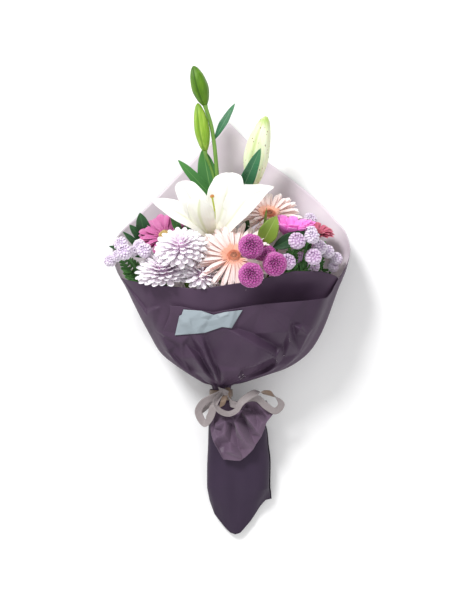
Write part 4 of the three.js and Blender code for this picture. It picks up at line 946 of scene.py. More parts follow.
for i, (root, path, widths, look) in enumerate(LILY_PETALS):
    line = smooth_line([root, *path], 34)
    half = smooth_read(widths, np.linspace(0, 1, 35))
    grid = blade_grid(line, half, look, cup=0.28, columns=18, groove=1.7, wave=2.0,
                      waves=2.2, phase=i * 1.7)
    add_blade(heap, grid, LILY_THICKNESS, 0.1 * i, lower=1)
heap.piece("lily", [lily_inside, lily_outside], ["lily_petals"], "lily_white")

# %% [markdown]
# From the throat rises a style with a swollen orange stigma. It is one tube whose
# radius follows a list, coloured along its length by the same petal material.

# %% Pistil
stigma = petal_material("stigma", "#c3cf45", "#b9652a", "#a9bb45", "#c97a2c", veins=3,
                        vein_share=0.3, rib_share=0.0, root_end=0.2, tip_start=0.78)
foot = LILY_BASE + LILY_FACE * 12.3
line = smooth_line([foot, (-14, 112, 117), (-16.6, 130, 132), (-17, 132.5, 134),
                    (-17.4, 135, 136)], 30)
radii = smooth_read([(0, 1.4), (0.3, 1.1), (0.72, 1.5), (0.86, 2.9), (1, 2.4)],
                    np.linspace(0, 1, 31))
points, faces, marks = tube_shape(line, radii, 18)
heap = Heap()
heap.add(points, faces, marks)
heap.piece("pistil_and_style", [stigma], ["lily_pistil"], "pistil")

# %% [markdown]
# Three buds stand above the open flower. A lily bud is three folded petals: from the
# outside one sees three long seams with a rib between each pair. The tall ones are
# still green, and the right one is nearly ready to open and has turned cream.

# %% Buds
def bud_material(name, base, streak, tip, root, seam, specks=0.0):
    material, nodes, inputs = new_material(
        name, 0.42, Subsurface_Weight=0.1, Subsurface_Scale=0.002, Specular_IOR_Level=0.3)
    marks = use_group(nodes, vein_group, Veins=11, Slant=0.3, Rib_Width=0.05)
    shade = nodes.tint(colour(root), nodes.range(marks["Along"], 0.0, 0.3), base)
    shade = nodes.tint(shade, nodes.range(marks["Along"], 0.8, 1.0), tip)
    long_noise = nodes.noise(60, 4, stretch=(3.0, 0.35, 3.0))
    shade = nodes.tint(shade, nodes.range(long_noise, 0.42, 0.7, 0.0, 0.8), streak)
    shade = nodes.tint(shade, marks["Vein"], streak, 0.3)
    shade = nodes.tint(shade, marks["Own"], seam, 0.8)
    if specks:
        spots = nodes.range(nodes.noise(330, 0), 0.74, 0.78, 0.0, specks)
        shade = nodes.tint(shade, spots, "#7a5a33")
    wire_look(nodes, inputs, shade, long_noise, 0.32, 0.46, marks["Height"], 0.35)
    return material


bud_green = bud_material("bud_green", "#4a740d", "#648e1a", "#3c6410", "#527d13", "#22450a")
bud_light = bud_material("bud_light", "#7da528", "#a2c050", "#6a921f", "#729e28", "#4c761a")
bud_cream = bud_material("bud_cream", "#dbe5b9", "#eef3da", "#9cba48", "#bdd084", "#b3c274",
                         specks=0.9)
BUD_SHAPE = [(0, 0.32), (0.16, 0.72), (0.42, 1), (0.7, 0.84), (0.93, 0.42), (1, 0.1)]
BUDS = {  # foot, top, radius, bend sideways, material, slot name
    "bud_top": ((-27.6, 262.4, 75), (-43, 314, 80), 11.2, 0.5, bud_green, "bud_green"),
    "bud_left": ((-27.5, 201.5, 68), (-37.5, 265, 74), 10, 0.5, bud_light, "bud_green"),
    "bud_right": ((37, 154, 60), (55, 247, 76), 16.5, -3, bud_cream, "bud_pale"),
}
RINGS, SIDES = 46, 48
for name, (low, high, radius, aside, look, slot_name) in BUDS.items():
    share = np.linspace(0, 1, RINGS)
    line = np.array(low, float) + (np.array(high, float) - low) * share[:, None]
    line[:, 0] += aside * np.sin(np.pi * share)
    points, faces, marks = tube_shape(line, radius * smooth_read(BUD_SHAPE, share), SIDES)
    rings = points[:-2].reshape(RINGS, SIDES, 3)
    theta = np.linspace(0, 2 * np.pi, SIDES, endpoint=False)
    seam = np.abs(((theta * 3 / (2 * np.pi) + 0.35) % 1) - 0.5)
    valley = np.exp(-(seam / 0.06) ** 2)
    marks[:-2, 2] = np.tile(valley, RINGS)
    relief = 1 - 0.16 * valley + 0.05 * np.cos(seam * 2 * np.pi) ** 2
    rings = line[:, None] + (rings - line[:, None]) * relief[None, :, None]
    heap = Heap()
    heap.add(np.concatenate([rings.reshape(-1, 3), points[-2:]]), faces, marks)
    heap.piece(name + "_folded", [look], [name], slot_name)

# %% [markdown]
# ## Gerberas
# A gerbera is a flat eye of tiny florets inside rings of strap petals. Every petal is
# the same small blade, drawn in the bloom's own frame with its stem along Z, then
# turned round the eye. A little seeded unevenness in length and rise keeps the rings
# from looking machined.

# %% Blooms in their own frame
def stand(points, at, face):
    """Places points of a bloom that was drawn facing up."""
    turn = Vector((0, 0, 1)).rotation_difference(Vector(unit(face))).to_matrix()
    return np.asarray(points) @ np.array(turn).T + np.asarray(at, float)


STRAP = [(0, 0.5), (0.3, 0.8), (0.65, 1), (0.86, 0.92), (0.96, 0.6), (1, 0.12)]
SPOON = [(0, 0.42), (0.35, 0.62), (0.7, 1), (0.88, 0.86), (0.97, 0.5), (1, 0.1)]


def ring_petal(angle, root, height, length, half, rise, droop, shape=STRAP, cup=0.25,
               rows=9, hook=0.0):
    """One petal of a ring, in the bloom's frame. It leaves the root circle at rise
    degrees, droops towards its tip, and hook curls its tip up again."""
    share = np.concatenate([np.linspace(0, 0.84, rows - 3), [0.92, 0.975, 1]])
    slope = np.radians(rise)
    out = root + length * share * np.cos(slope) + droop * share ** 2 * np.sin(slope)
    up = height + length * share * np.sin(slope) - droop * share ** 2 * np.cos(slope)
    up += hook * share ** 4
    across = np.linspace(-1, 1, 5)
    width = half * read(shape, share)
    edge = width[:, None] * across[None, :]
    lift = cup * width[:, None] * across[None, :] ** 2
    x = out[:, None] - lift * np.sin(slope)
    z = up[:, None] + lift * np.cos(slope)
    c, s = np.cos(angle), np.sin(angle)
    return np.stack([x * c - edge * s, x * s + edge * c, z], -1)


def parted(angle, parting):
    """Pushes a petal aside from a stalk that stands in its way."""
    if parting is None:
        return angle
    away = (np.degrees(angle) - parting[0] + 180) % 360 - 180
    return angle + np.radians(parting[1] * np.sign(away) * np.exp(-abs(away) / 70))


def add_petal(heap, grid, at, face, thickness, tint, upper=0, lower=0):
    # Columns run along the petal first, so that its upper side looks up.
    add_blade(heap, stand(grid.reshape(-1, 3), at, face).reshape(grid.shape)[:, ::-1],
              thickness, tint, upper, lower)


def add_core(heap, at, face, levels, widths, sides, mark=(0, 0, 0)):
    """The solid middle of a bloom: a short tube along its axis."""
    axis = [np.array([0, 0, level]) for level in levels]
    points, faces, marks = tube_shape(axis, widths, sides)
    heap.add(stand(points, at, face), faces, marks * 0 + mark)


GOLDEN_ANGLE = 2.39996  # the turn from one floret to the next


def floret_dome(heap, at, face, radius, count, heights, size, tall):
    """Tiny cones set in the spiral that real florets grow in. heights gives the
    dome's height at each share of its radius."""
    for i in range(count):
        reach = radius * np.sqrt((i + 0.5) / count)
        angle = i * GOLDEN_ANGLE
        base = np.array([reach * np.cos(angle), reach * np.sin(angle),
                         read(heights, reach / radius) * radius])
        lean = unit([base[0] * 0.35, base[1] * 0.35, radius])
        spin = np.linspace(0, 2 * np.pi, 5, endpoint=False)
        side = unit(np.cross(lean, [0.3, 1, 0.1]))
        other = np.cross(lean, side)
        ring = np.cos(spin)[:, None] * side + np.sin(spin)[:, None] * other
        points = np.concatenate([base - lean * 0.6 + ring * size, base + lean * tall * 0.7
                                 + ring * size * 0.8, [base + lean * tall]])
        ids = np.arange(5)
        after = np.roll(ids, -1)
        faces = [np.stack([ids, after, after + 5, ids + 5], -1),
                 np.stack([ids + 5, after + 5, np.full(5, 10)], -1),
                 np.array([[4, 3, 2, 1, 0]])]
        marks = np.zeros((11, 3))
        marks[:, 0], marks[:, 1], marks[5:, 2] = 0.5, reach / radius, 1
        heap.add(stand(points, at, face), faces, marks)


# %% [markdown]
# The five gerberas share a build and differ in colour: two peach, two pink, one coral.
# A peach petal is nearly white at its tip and salmon below and underneath. The eye has
# a dark heart in a ring of its petals' colour.

# %% Gerbera materials
peach_look = petal_material("petal_peach", "#feeae8", "#fffafa", "#f6b5a2", "#fbd8cf",
                            veins=3.2, vein_share=0.25, rib_share=0.25, root_end=0.42,
                            tip_start=0.4, own=0.1, glow=0.25)
salmon_look = petal_material("petal_salmon", "#f6bda5", "#fbdccf", "#e89a7a", "#f0ab90",
                             veins=3.2, vein_share=0.3, rib_share=0.3, own=0.2)
pink_look = petal_material("petal_pink", "#cb6ca6", "#e298c4", "#a93f7e", "#bb5090",
                           veins=3.2, vein_share=0.5, rib_share=0.3, root_end=0.45, own=0.2)
hot_pink_look = petal_material("petal_hot_pink", "#fb84de", "#fda8e8", "#d955b8", "#ee74cf",
                               veins=3.2, vein_share=0.35, rib_share=0.2, own=0.15)
coral_look = petal_material("petal_coral", "#c75f7a", "#e2949d", "#9a3a55", "#b34b68",
                            veins=3.2, vein_share=0.4, own=0.35)


def eye_material(name, middle, ring, rim):
    material, nodes, inputs = new_material(name, 0.8)
    marks = use_group(nodes, vein_group, Veins=1, Rib_Width=0.01)
    shade = nodes.tint(colour(middle), nodes.range(marks["Along"], 0.1, 0.25), ring)
    shade = nodes.tint(shade, nodes.range(marks["Along"], 0.42, 0.6), rim)
    shade = nodes.tint(shade, marks["Own"], rim, 0.3)
    dust = nodes.noise(700, 3)
    shade = nodes.tint(shade, dust, middle, 0.16)
    wire_look(nodes, inputs, shade, dust, 0.7, 0.9, dust, 0.4)
    return material


eye_peach = eye_material("eye_peach", "#6b3a28", "#3a1513", "#f2a888")
eye_yellow = eye_material("eye_yellow", "#b9ae4c", "#d8b765", "#ecd99a")
eye_coral = eye_material("eye_coral", "#7d3a3a", "#6a2238", "#b8606c")

# %% [markdown]
# Up to five rings of petals stand one above the other, each a little shorter and
# steeper. A ring of small petals closes the bloom underneath. The lower petals
# of the front bloom bend down where the film holds them in.

# %% Gerberas
BLOOM_PETAL, SEPALS = 0.5, 14  # a petal's thickness, and the small petals underneath
TUCKED = ("peach_front", "mum_left")  # the film holds their lower petals in
GERBERAS = [  # name, at, face, radius, petals in a ring, half width, rise, parting, eye
    # radius, materials of the petals' two sides and of the eye, slot names
    ("peach_front", (11, 57, 127), (-0.05, 0.58, 0.81), 54, 20, 4.0, 14, (-4.9, 16), 8.5,
     [peach_look, salmon_look], eye_peach, "petal_peach", "eye_peach"),
    ("peach_rear", (59.4, 117, 60), (0.05, 0.72, 0.69), 45, 16, 4.0, 14, None, 8,
     [peach_look, salmon_look], eye_peach, "petal_peach", "eye_peach"),
    ("pink_left", (-82, 87, 76), (-0.35, 0.66, 0.67), 40, 9, 7.4, 26, None, 7.5,
     [pink_look, pink_look], eye_yellow, "petal_pink", "eye_yellow"),
    ("pink_right", (86.3, 83, 106), (0.1, 0.95, 0.3), 41, 8, 7.2, 52, None, 6,
     [hot_pink_look, hot_pink_look], eye_yellow, "petal_pink", "eye_yellow"),
    ("coral", (124, 92, 66), (0.25, 0.88, 0.4), 25, 9, 4.4, 34, None, 5.5,
     [coral_look, coral_look], eye_coral, "petal_coral", "eye_yellow"),
]
EYE_DOME = [(0, 0.16), (0.42, 0.28), (0.82, 0.32), (1, 0.14)]
for name, at, face, radius, count, half, rise, parting, eye, look, eye_look, slot_name, \
        eye_slot in GERBERAS:
    disc = eye * 1.1
    reach = radius - disc
    heap = Heap()
    rings = [  # share of a turn, root, height, length, rise, droop, half width, petals
        (0.75, disc * 0.9, -3.4, reach, rise - 7, 3, half * 0.84, count + 3),
        (0.25, disc * 0.9, -2.6, reach * 0.98, rise - 3, 3, half * 0.8, count + 2),
        (1.25, disc * 0.92, -1.4, reach * 0.9, rise + 3, 2.5, half * 0.76, count + 2),
        (0.1, disc * 0.9, -0.4, reach * 0.74, rise + 9, 2, half * 0.66, count),
        (0.5, disc * 0.85, 0, reach * 0.27, rise + 16, 0.5, 1.1, count * 2),
    ]
    if rise > 40:
        rings = [(*ring[:6], ring[6] * 1.3, ring[7]) for ring in rings[1:]]
    for k, (start, root, level, length, slope, droop, width, number) in enumerate(rings):
        for i in range(number):
            angle = parted(2 * np.pi * (i + start) / number, parting)
            short = 0.7 if length < reach / 2 else 0.93
            tuck = ease(-np.sin(angle), 0.45, 0.95) * (name in TUCKED)
            grid = ring_petal(angle, root, level, length * rng.uniform(short, 1.05) *
                              (1 - 0.08 * tuck), width, slope - 34 * tuck + rng.uniform(-3, 3),
                              droop + 8 * tuck, cup=0.35)
            add_petal(heap, grid, at, face, BLOOM_PETAL, rng.uniform(0, 0.8),
                      k == len(rings) - 1, 1)
    for i in range(SEPALS):
        angle = 2 * np.pi * i / SEPALS
        grid = ring_petal(angle, disc * 0.6, -5, disc * 0.75, 1.4, 10, 0, cup=0.1)
        add_petal(heap, grid, at, face, BLOOM_PETAL, 1.0)
    add_core(heap, at, face, [-5.2, -2.5, 1.2], [disc * 0.7, disc, disc * 0.9], 24)
    heap.piece(f"gerbera_{name}_rings", look, [f"gerbera_{name}_petals"], slot_name)

    heap = Heap()
    floret_dome(heap, at, face, eye, 110, EYE_DOME, 0.5, 2.0)
    add_core(heap, at, face, [0.9, eye * 0.14, eye * 0.25],
             [eye * 0.85, eye * 0.98, eye * 0.7], 24, (0.5, 0.7, 0))
    heap.piece(f"gerbera_{name}_disc", [eye_look], [f"gerbera_{name}_eye"], eye_slot)

# %% [markdown]
# ## Chrysanthemums
# The three white blooms have no eye to see: petals grow all the way in, shorter and
# steeper towards the middle, each cupped like a spoon. A dome of stacked rings makes
# that, with the tint drifting from white outside to lilac inside.

# %% Mums
mum_look = petal_material("petal_mum", "#fef7fe", "#fffdff", "#f5d9f2", "#faf0fa",
                          veins=2.4, vein_share=0.05, rib_share=0.12, root_end=0.4,
                          tip_start=0.3, own=0.15, glow=0.5)
MUM_RINGS = [  # root, height, length, rise, half width, droop, petals, tint
    (9, -3.6, 25, -8, 4.3, 2.5, 17, 0.0), (9.6, -1.4, 25, 3, 4.3, 3, 17, 0.0),
    (9.8, 1, 23.5, 12, 4.1, 3.5, 17, 0.05), (9, 3.6, 20.5, 21, 3.9, 3.5, 16, 0.12),
    (8, 6, 17, 31, 3.5, 3, 14, 0.25), (6.4, 8, 13.5, 43, 3, 2.4, 12, 0.45),
    (4.5, 9.6, 10.5, 56, 2.4, 1.6, 9, 0.7), (2.3, 10.6, 8, 72, 1.8, 0.5, 6, 0.95),
]
MUMS = [
    ("mum_top", (-58, 68, 126), (-0.08, 0.79, 0.61), 1.06, None, 0),
    ("mum_left", (-80, 38, 113), (-0.12, 0.83, 0.56), 1.12, (19, 14), 0),
    ("mum_low", (-30.5, 33.5, 119), (0.15, 0.7, 0.7), 0.8, None, 14),
]
for name, at, face, scale, parting, cone in MUMS:
    heap = Heap()
    for k, (root, level, length, rise, half, droop, number, tint) in enumerate(MUM_RINGS):
        if cone:
            number = int(number * 0.85)
            rise += cone * k / 4
            length *= 1 + 0.06 * k
        for i in range(number):
            angle = parted(2 * np.pi * (i + 0.5 * (k % 2) + rng.uniform(-0.12, 0.12)) / number,
                           parting)
            lean = ease(-np.sin(angle), 0.3, 0.9) * (name in TUCKED)
            grid = ring_petal(angle, root * scale, level * scale,
                              length * scale * rng.uniform(0.9, 1.04) * (1 - 0.1 * lean),
                              half * scale, rise + 14 * lean + rng.uniform(-4, 4),
                              droop * scale, SPOON, 0.28, rows=8, hook=2.2 * scale)
            add_petal(heap, grid, at, face, BLOOM_PETAL, tint + rng.uniform(0, 0.15))
    add_core(heap, at, face, np.array([-5, -2, 3, 8, 10.6]) * scale,
             np.array([6.5, 9.2, 9, 6, 2]) * scale, 20, (0.5, 0, 0.8))
    heap.piece(name + "_bloom", [mum_look], [name], "mum_white")

# %% [markdown]
# ## Button pompons
# A button pompon is a ball of short florets with a dimple on top. Points spread over a
# sphere in the golden-angle spiral are even and never line up, just as the florets
# do, so each point gets one small scoop that leans away from the dimple.

# %% Pompon heads
FLORET_THICKNESS, SKIRT_THICKNESS, SQUASH = 0.32, 0.35, 0.9


def pompon(heap, at, face, radius, count, length, half, heart, skirt=0):
    """A ball of florets. heart is how wide the painted shade in its dimple is, and skirt
    counts the flat petals under it."""
    total = int(count * 1.45)  # of the whole ball, whose underside stays bare
    for i in range(count):
        polar = np.arccos(1 - 2 * (i + 0.5) / total)
        angle = i * GOLDEN_ANGLE
        way = np.array([np.sin(polar) * np.cos(angle), np.sin(polar) * np.sin(angle),
                        np.cos(polar)])
        spot = way * radius * (1 - 0.45 * np.exp(-(polar / 0.42) ** 2)) * [1, 1, SQUASH]
        if spot[2] < -0.6 * radius:
            continue
        down = np.array([np.cos(polar) * np.cos(angle), np.cos(polar) * np.sin(angle),
                         -np.sin(polar)])
        forward = unit(way * 0.55 + down * (0.3 + 0.6 * np.sin(min(polar, 1.6))))
        side = unit(np.cross([0, 0, 1.0], forward) + 1e-6)
        normal = np.cross(forward, side)
        size = (0.55 + 0.45 * ease(polar, 0.1, 0.9)) * rng.uniform(0.85, 1.15)
        share = np.array([0, 0.45, 0.8, 1])[:, None, None]
        across = np.array([-1, 0, 1])[None, :, None]
        width = np.array([0.6, 1, 0.85, 0.25])[:, None, None] * half * size
        grid = (spot - forward * 0.8 + forward * (length * size * share)
                + side * (across * width) + normal * (0.5 * width * across ** 2 - 0.25 * share))
        # Florets in the dimple, except the few in its very middle, get a darker tint: painted shade
        # in the dimple.
        shade = 1.3 * np.exp(-(polar / heart) ** 2) * (i > 4) + rng.uniform(0, 0.25)
        grid = stand(grid.reshape(-1, 3), at, face).reshape(grid.shape)
        add_blade(heap, grid[:, ::-1], FLORET_THICKNESS, shade)
    for k in range(skirt):
        angle = 2 * np.pi * (k + 0.5) / skirt + rng.uniform(-0.1, 0.1)
        low = k % 2
        grid = ring_petal(angle, radius * 0.6, -radius * (0.22 + 0.16 * low), radius * 0.55,
                          radius * 0.22, 6 - 12 * low + rng.uniform(-6, 6), 1, SPOON, 0.4,
                          rows=6)
        add_petal(heap, grid, at, face, SKIRT_THICKNESS, -0.2)
    # The core shows inside the dimple, and its dark root tint is painted shade too.
    add_core(heap, at, face, radius * np.array([-0.6, -0.35, 0.1, 0.34, 0.42]),
             np.array([0.62, 0.86, 0.92, 0.62, 0.2]) * radius, 16, (0.5, 0, 0.9))


POMPON = {"veins": 2, "vein_share": 0.1, "rib_share": 0.1, "root_end": 0.55}
pompon_magenta = petal_material("pompon_magenta", "#c64ca8", "#f0b4e3", "#611350", "#c64ca8",
                                tip_start=0.6, own=0.9, **POMPON)
pompon_lilac = petal_material("pompon_lilac", "#e0c8e3", "#f3e6f5", "#cfaad4", "#e0c8e3",
                              tip_start=0.3, own=0.4, glow=0.2, **POMPON)
pompon_pale = petal_material("pompon_pale", "#ecdef0", "#faf4fc", "#d6c0df", "#ecdef0",
                             tip_start=0.3, own=0.35, glow=0.2, **POMPON)

# %% [markdown]
# Four deep pink balls stand in front. Their florets are many and fine, with pale tips
# round a dimple that is painted dark as shade.

# %% Magenta pompons
MAGENTA = [
    ("magenta_top", (32.4, 68.2, 158), (-0.05, 0.12, 0.99), 15.4),
    ("magenta_behind", (53, 58, 123), (0.1, 0.5, 0.86), 13.6),
    ("magenta_right", (63, 46, 150), (0, 0.05, 1), 15),
    ("magenta_low", (32.2, 31.6, 166), (-0.04, 0.1, 0.99), 15.4),
]
for name, at, face, radius in MAGENTA:
    heap = Heap()
    pompon(heap, at, face, radius - 1.8, 230, 4.8, 1.75, 0.42)
    heap.piece(name + "_pompon", [pompon_magenta], [name], "pompon_magenta")

# %% [markdown]
# Three sprays carry smaller lilac heads, some touching, so that one solid may stand
# for two or three. A skirt of flat petals hangs under each ball.

# %% Lilac pompons
LILAC = {
    "lilac_left": ((-0.35, 0.55, 0.75), pompon_pale, "pompon_lilac", [
        [(-143, 59, 98, 8), (-153.5, 52.9, 92, 8.4)],
        [(-132, 63, 118, 10.4), (-138, 74, 106, 9.4)],
        [(-114, 72, 103, 8.2), (-122, 65, 97, 7.4), (-106.3, 65, 114, 9.6)],
    ]),
    "lilac_front": ((0.15, 0.45, 0.88), pompon_lilac, "pompon_lilac", [
        [(92, 76.4, 142, 10.8)], [(80.8, 49.9, 128, 10.4)], [(100, 54, 88, 10.2)],
        [(114, 56, 132, 10.6)], [(116.4, 45, 98, 8.5)],
    ]),
    "lilac_rear": ((0.3, 0.6, 0.74), pompon_pale, "pompon_pale", [
        [(111.9, 82.1, 134, 9.4), (111.2, 88, 126, 8.4)], [(124, 70, 100, 10.2)],
        [(136, 65, 84, 9.4)], [(145, 45, 70, 7.6), (149, 56, 72, 8.6)],
        [(117, 111.6, 38, 8.9)],
    ]),
}
for spray, (face, look, slot_name, bodies) in LILAC.items():
    for number, heads in enumerate(bodies, 1):
        heap = Heap()
        for x, y, z, radius in heads:
            tilt = unit(np.array(face) + rng.uniform(-0.12, 0.12, 3))
            pompon(heap, (x, y, z), tilt, radius - 1.7, 66, 4.2, 1.75, 0.6, skirt=18)
        heap.piece(f"{spray}_{number}_pompon", [look], [f"{spray}_{number}"], slot_name)

# %% [markdown]
# ## Stems and leaves
# Every stem starts at the cut end, runs straight through the tie in its own slot, and
# then bends out to its bloom, where it flares into a green cup. Seen through the
# gaps, they explain how the bunch holds together.

# %% Leaf and stem materials
stem_look, nodes, inputs = new_material("stem_skin", 0.5)
fibres = nodes.noise(220, 4, stretch=(3.0, 0.3, 3.0))
wire_look(nodes, inputs, nodes.tint(colour("#4d7a2c"), fibres, "#84ab4c"), fibres, 0.42, 0.6,
          fibres, 0.3)

LEAF = {"vein_share": 0.3, "rib_share": 0.7, "rib_width": 0.07, "own": 0.2, "glow": 0.05}
leaf_lily = petal_material("leaf_lily", "#3d7a35", "#4c8a3d", "#2c6330", "#7fb064",
                           veins=6, roughness=0.36, **LEAF)
leaf_blue = petal_material("leaf_blue_green", "#2c6d45", "#3f8254", "#1f5637", "#8fbf92",
                           veins=6, roughness=0.33, **LEAF)
leaf_dark = petal_material("leaf_dark", "#1f4a26", "#2a5c2e", "#15351b", "#4c7d45",
                           veins=5, slant=6.0, roughness=0.42, **LEAF)
leaf_bright = petal_material("leaf_bright", "#7f9a38", "#8ea944", "#5f7c28", "#b4c675",
                             veins=6, slant=6.0, roughness=0.38, **LEAF)
leaf_fern = petal_material("leaf_cut", "#467a3a", "#5f954a", "#2c5824", "#74a65a",
                           veins=3, slant=3.0, roughness=0.45, **LEAF)

# %% [markdown]
# A stem is a tube along a smooth line through marked points. A leaf is a blade, and
# cut foliage is a rib with small leaves set along it in pairs, each with side teeth.

# %% Stem lines
PITCH, FOOT = 4.3, np.array([8.0, -268, 19])  # between stems in the tie, and their end
LEAF_THICKNESS = 0.6
LEAF_WIDTHS = [(0, 0.12), (0.2, 0.7), (0.45, 1), (0.75, 0.72), (0.93, 0.3), (1, 0.03)]


def foot_of(slot_place):
    """Where a stem starts and how it runs through the tie."""
    pitches, angle = slot_place
    aside = np.array([np.cos(np.radians(angle)), 0, np.sin(np.radians(angle))])
    aside = aside * pitches * PITCH
    return [FOOT + aside * 1.15, TIE + aside - [0, 10, 0], TIE + aside + [0, 10, 0]]


def add_stem(heap, line, radii, sides=12):
    steps = 9 * len(line)
    smooth = smooth_line(line, steps)
    spread = np.interp(np.linspace(0, len(line) - 1, steps + 1), np.arange(len(line)), radii)
    heap.add(*tube_shape(smooth, spread, sides))


def add_leaf(heap, start, end, half, sag=3, look=(0, 0.3, 1), cup=0.25, material=0, wave=0.6):
    share = np.linspace(0, 1, 26)[:, None]
    start, end = np.array(start, float), np.array(end, float)
    line = start + (end - start) * share + [0, 0, 1] * (sag * np.sin(np.pi * share))
    widths = np.maximum(0.25, half * smooth_read(LEAF_WIDTHS, share[:, 0]))
    grid = blade_grid(line, widths, look, cup, 10, groove=0.5, wave=wave, waves=2,
                      phase=start[0])
    add_blade(heap, grid, LEAF_THICKNESS, 0.3, material, material)


PAIRS, LEAFLET_LOOK = 15, (0, 0.2, 1)


def add_cut_leaf(heap, start, end, half, sag):
    """Feathery foliage: a rib with narrow leaflets, each with its own small teeth."""
    start, end = np.array(start, float), np.array(end, float)
    share = np.linspace(0, 1, 30)
    line = start + (end - start) * share[:, None]
    line[:, 2] += sag * np.sin(np.pi * share)
    heap.add(*tube_shape(line, 0.9 * (1 - 0.75 * share), 8), look=1)
    forward = unit(end - start)
    side = unit(np.cross(forward, [0, 0.3, 1]))
    for i in range(PAIRS):
        t = (i + 0.6) / PAIRS
        spot = np.array([np.interp(t, share, line[:, k]) for k in range(3)])
        size = half * (0.55 + 0.75 * np.sin(np.pi * min(1, t * 0.9 + 0.1)))
        for sign in (-1, 1):
            way = unit(side * sign + forward * 0.8 + [0, 0, rng.uniform(-0.1, 0.35)])
            leaf_tip = spot + way * size * rng.uniform(0.85, 1.15)
            add_leaf(heap, spot, leaf_tip, 2.3, 0.6, LEAFLET_LOOK, 0.2, wave=0.1)
            for tooth in (0.45, 0.7):
                base = spot + way * size * tooth
                spread = unit(way + side * sign * 0.2 + forward * rng.uniform(0.5, 0.9))
                add_leaf(heap, base, base + spread * size * 0.5, 1.8, 0.3, LEAFLET_LOOK,
                         0.2, wave=0.05)


# %% [markdown]
# A gerbera has one bare stem, which swells into the cup that carries the petals.

# %% Stems of single blooms
SLOTS = {"peach_front": (1, 60), "peach_rear": (1, 300), "pink_left": (1, 180),
         "pink_right": (1, 0), "coral": (3 ** 0.5, 330)}
for name, at, face, _, _, _, _, _, eye, *_ in GERBERAS:
    face = unit(face)
    seat = np.array(at, float) - face * 5.3
    heap = Heap()
    add_stem(heap, [*foot_of(SLOTS[name]), seat - face * 26, seat - face * 7, seat],
             [2, 2, 2, 2, 2, eye * 0.77])
    heap.piece(f"gerbera_{name}_stalk", [stem_look], [f"gerbera_{name}_stem"], "stem_green")


# %% [markdown]
# A spray has one stem up to its fork, and a thin one from there to every head. The
# feathery leaves grow from the forks and fill the gaps beside the film.

# %% Forked stems
def forked(name, slot_place, fork, heads, cup, leaves=()):
    heap = Heap()
    fork = np.array(fork, float)
    foot = foot_of(slot_place)
    add_stem(heap, [*foot, foot[-1] + (fork - foot[-1]) * 0.9, fork], [2, 2, 2, 1.7, 1.7])
    for at, face, floor in heads:
        face = unit(face)
        seat = np.array(at, float) - face * (floor + 0.3)
        add_stem(heap, [foot[-1] + (fork - foot[-1]) * 0.93, seat - face * 16, seat],
                 [1.1, 1.1, cup])
    for start, end, half, sag in leaves:
        add_cut_leaf(heap, start, end, half, sag)
    heap.piece(name + "_stalks", [leaf_fern, stem_look] if leaves else [stem_look],
               [name], "leaf_green")


forked("mum_stems", (2, 120), (-40, -20, 72),
       [(at, face, 5 * scale) for _, at, face, scale, *_ in MUMS], 4.5)
forked("magenta_stems", (3 ** 0.5, 90), (28, 24, 114),
       [(at, face, 0.6 * radius) for _, at, face, radius in MAGENTA], 3.5)
FORKS = {
    "lilac_left": ((2, 180), (-85, -5, 66), [
        ((-70, -29, 57), (-136, 44, 76), 9, -2), ((-76, -19, 61), (-117, 42, 78), 13, -6),
        ((-85, -10, 66), (-134, 52, 86), 14, 2), ((-80, -8, 70), (-98, 56, 92), 13, 2),
        ((-80, -14, 66), (-122, 34, 86), 11, 6)]),
    "lilac_front": ((3 ** 0.5, 30), (68, -10, 86), [
        ((66, -8, 84), (88, 62, 104), 13, 2), ((68, -10, 86), (112, 50, 100), 13, 2)]),
    "lilac_rear": ((2, 0), (104, 8, 58), [
        ((78, -19, 60), (132, 42, 66), 13, 6), ((100, 4, 58), (126, 76, 84), 14, 2),
        ((102, 6, 58), (104, 86, 92), 14, 2)]),
}
for spray, (place, fork, leaves) in FORKS.items():
    face, _, _, bodies = LILAC[spray]
    carried = [(heads[0][:3], face, 0.6 * heads[0][3]) for heads in bodies]
    forked(spray + "_stems", place, fork, carried, 2.4, leaves)

# %% [markdown]
# The lily's stem is the tallest and carries everything of the lily: the open flower,
# three buds and four long leaves.

# %% Lily stem
heap = Heap()
top_low, top_high = (np.array(point, float) for point in BUDS["bud_top"][:2])
aim = unit(top_high - top_low)
add_stem(heap, [*foot_of((0, 0)), (-8, 20, 42), (-10, 100, 56), (-11, 163, 62),
                (-18.5, 232, 69), top_low - aim * 6, top_low - aim * 0.3],
         [2.4, 2.2, 2.2, 2.6, 2.8, 2.8, 2.7, 2.8, 3.4], 18)
BRANCHES = [
    ([(-9, 30, 43), (-11, 55, 62)], [2, 2.2, 2.4, 3.8], LILY_BASE, LILY_FACE),
    ([(-11, 150, 60), (-20, 180, 62)], [2, 2.1, 2.2, 3], *BUDS["bud_left"][:2]),
    ([(-10, 106, 57), (16, 128, 52)], [2, 2.2, 2.6, 4.8], *BUDS["bud_right"][:2]),
]
for i, (through, radii, seat, end) in enumerate(BRANCHES):
    seat = np.array(seat, float)
    aim = unit(end) if i == 0 else unit(np.array(end) - seat)
    add_stem(heap, [*through, seat - aim * 6, seat - aim * 0.3], radii, 16)
add_leaf(heap, (-15, 217, 67), (12.7, 266, 66), 5.5, 3, (-0.4, 0, 1), material=2)
add_leaf(heap, (-18, 138, 60), (-31, 205, 60), 13.5, 0, (0, 0, 1), 0.15, material=1)
add_leaf(heap, (-11, 132, 59), (-64, 189, 70), 8, 3, material=1)
add_leaf(heap, (13, 127, 52), (46.5, 201, 96), 10, 14, (0.2, -0.3, 1), material=2)
heap.piece("lily_stalk", [stem_look, leaf_lily, leaf_blue], ["lily_stem"], "stem_green")

# %% [markdown]
# Loose sprigs are tucked in between the blooms. Each is one thin stem with a few
# broad leaves, listed with where they start, end, sag and look.

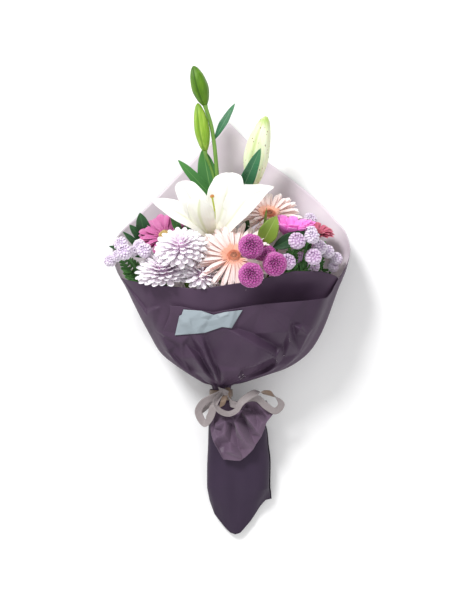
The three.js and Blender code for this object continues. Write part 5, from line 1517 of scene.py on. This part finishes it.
# %% Sprigs of leaves
SPRIGS = {  # slot, stem, leaves as (start, end, half width, sag, look), material, slot name
    "leaves_bright": ((2, 60), [(34, 0, 64), (49, 80, 98), (52, 82, 120)], [
        ((46, 70, 114), (66, 108, 136), 12.5, 5, (0, -0.2, 1)),
        ((49.5, 80, 102), (54, 121, 114), 2, 4, (0, 0.3, 1))], leaf_bright, "leaf_bright"),
    "leaf_dark_right": ((2, 300), [(42, 0, 44), (65, 50, 92), (67.5, 67, 120)], [
        ((62, 68, 119.5), (106, 89, 127), 9.5, 3, (0, -0.2, 1))], leaf_dark, "leaf_dark"),
    "leaves_left": ((3 ** 0.5, 210), [(-60, -20, 40), (-95, 50, 49), (-108, 80, 56)], [
        ((-107, 78, 55), (-116, 118, 66), 10, 3, (0, 0.3, 1)),
        ((-104, 72, 53), (-130, 102, 65), 7, 3, (0, 0.3, 1)),
        ((-98, 55, 50), (-138, 92, 75), 5.5, 5, (0, 0.3, 1)),
        ((-100, 58, 50), (-156, 72, 82), 6, 3, (0, 0.3, 1))], leaf_dark, "leaf_dark"),
    "leaves_under_lily": ((1, 120), [(-24, 0, 60), (-50, 60, 88), (-60, 86, 98)], [
        ((-59, 84, 97), (-73, 121, 103), 5.5, 2, (0, 0.3, 1)),
        ((-56, 76, 94), (-48, 103, 98), 7, 1, (0, 0.3, 1))], leaf_lily, "leaf_green"),
    "leaf_dark_middle": ((1, 240), [(2, 0, 34), (14, 60, 56), (18, 78, 68)], [
        ((17, 76, 66), (31, 107, 84), 8, 3, (0, 0.3, 1))], leaf_dark, "leaf_dark"),
}
for name, (place, through, leaves, look, slot_name) in SPRIGS.items():
    heap = Heap()
    add_stem(heap, [*foot_of(place), *through], [1.8, 1.8, 1.8, 1.3, 1.3, 1.3], 10)
    for start, end, half, sag, way in leaves:
        add_leaf(heap, start, end, half, sag, way, material=1)
    heap.piece(name + "_sprig", [stem_look, look], [name], slot_name)

# %% [markdown]
# ## Sheet areas
# The area of one side of the wrapper, the ruffle, the stem wrap, the label and the bow
# is printed.

# %% Sheet areas
def half_area(piece):
    mesh = piece.data
    areas = np.zeros(len(mesh.polygons), np.float32)
    mesh.polygons.foreach_get("area", areas)
    return float(areas.sum()) / 2


for piece in (wrapper, skirt, stem_wrap, label, bow):
    print(piece.name, "one side, m2:", round(half_area(piece), 4))
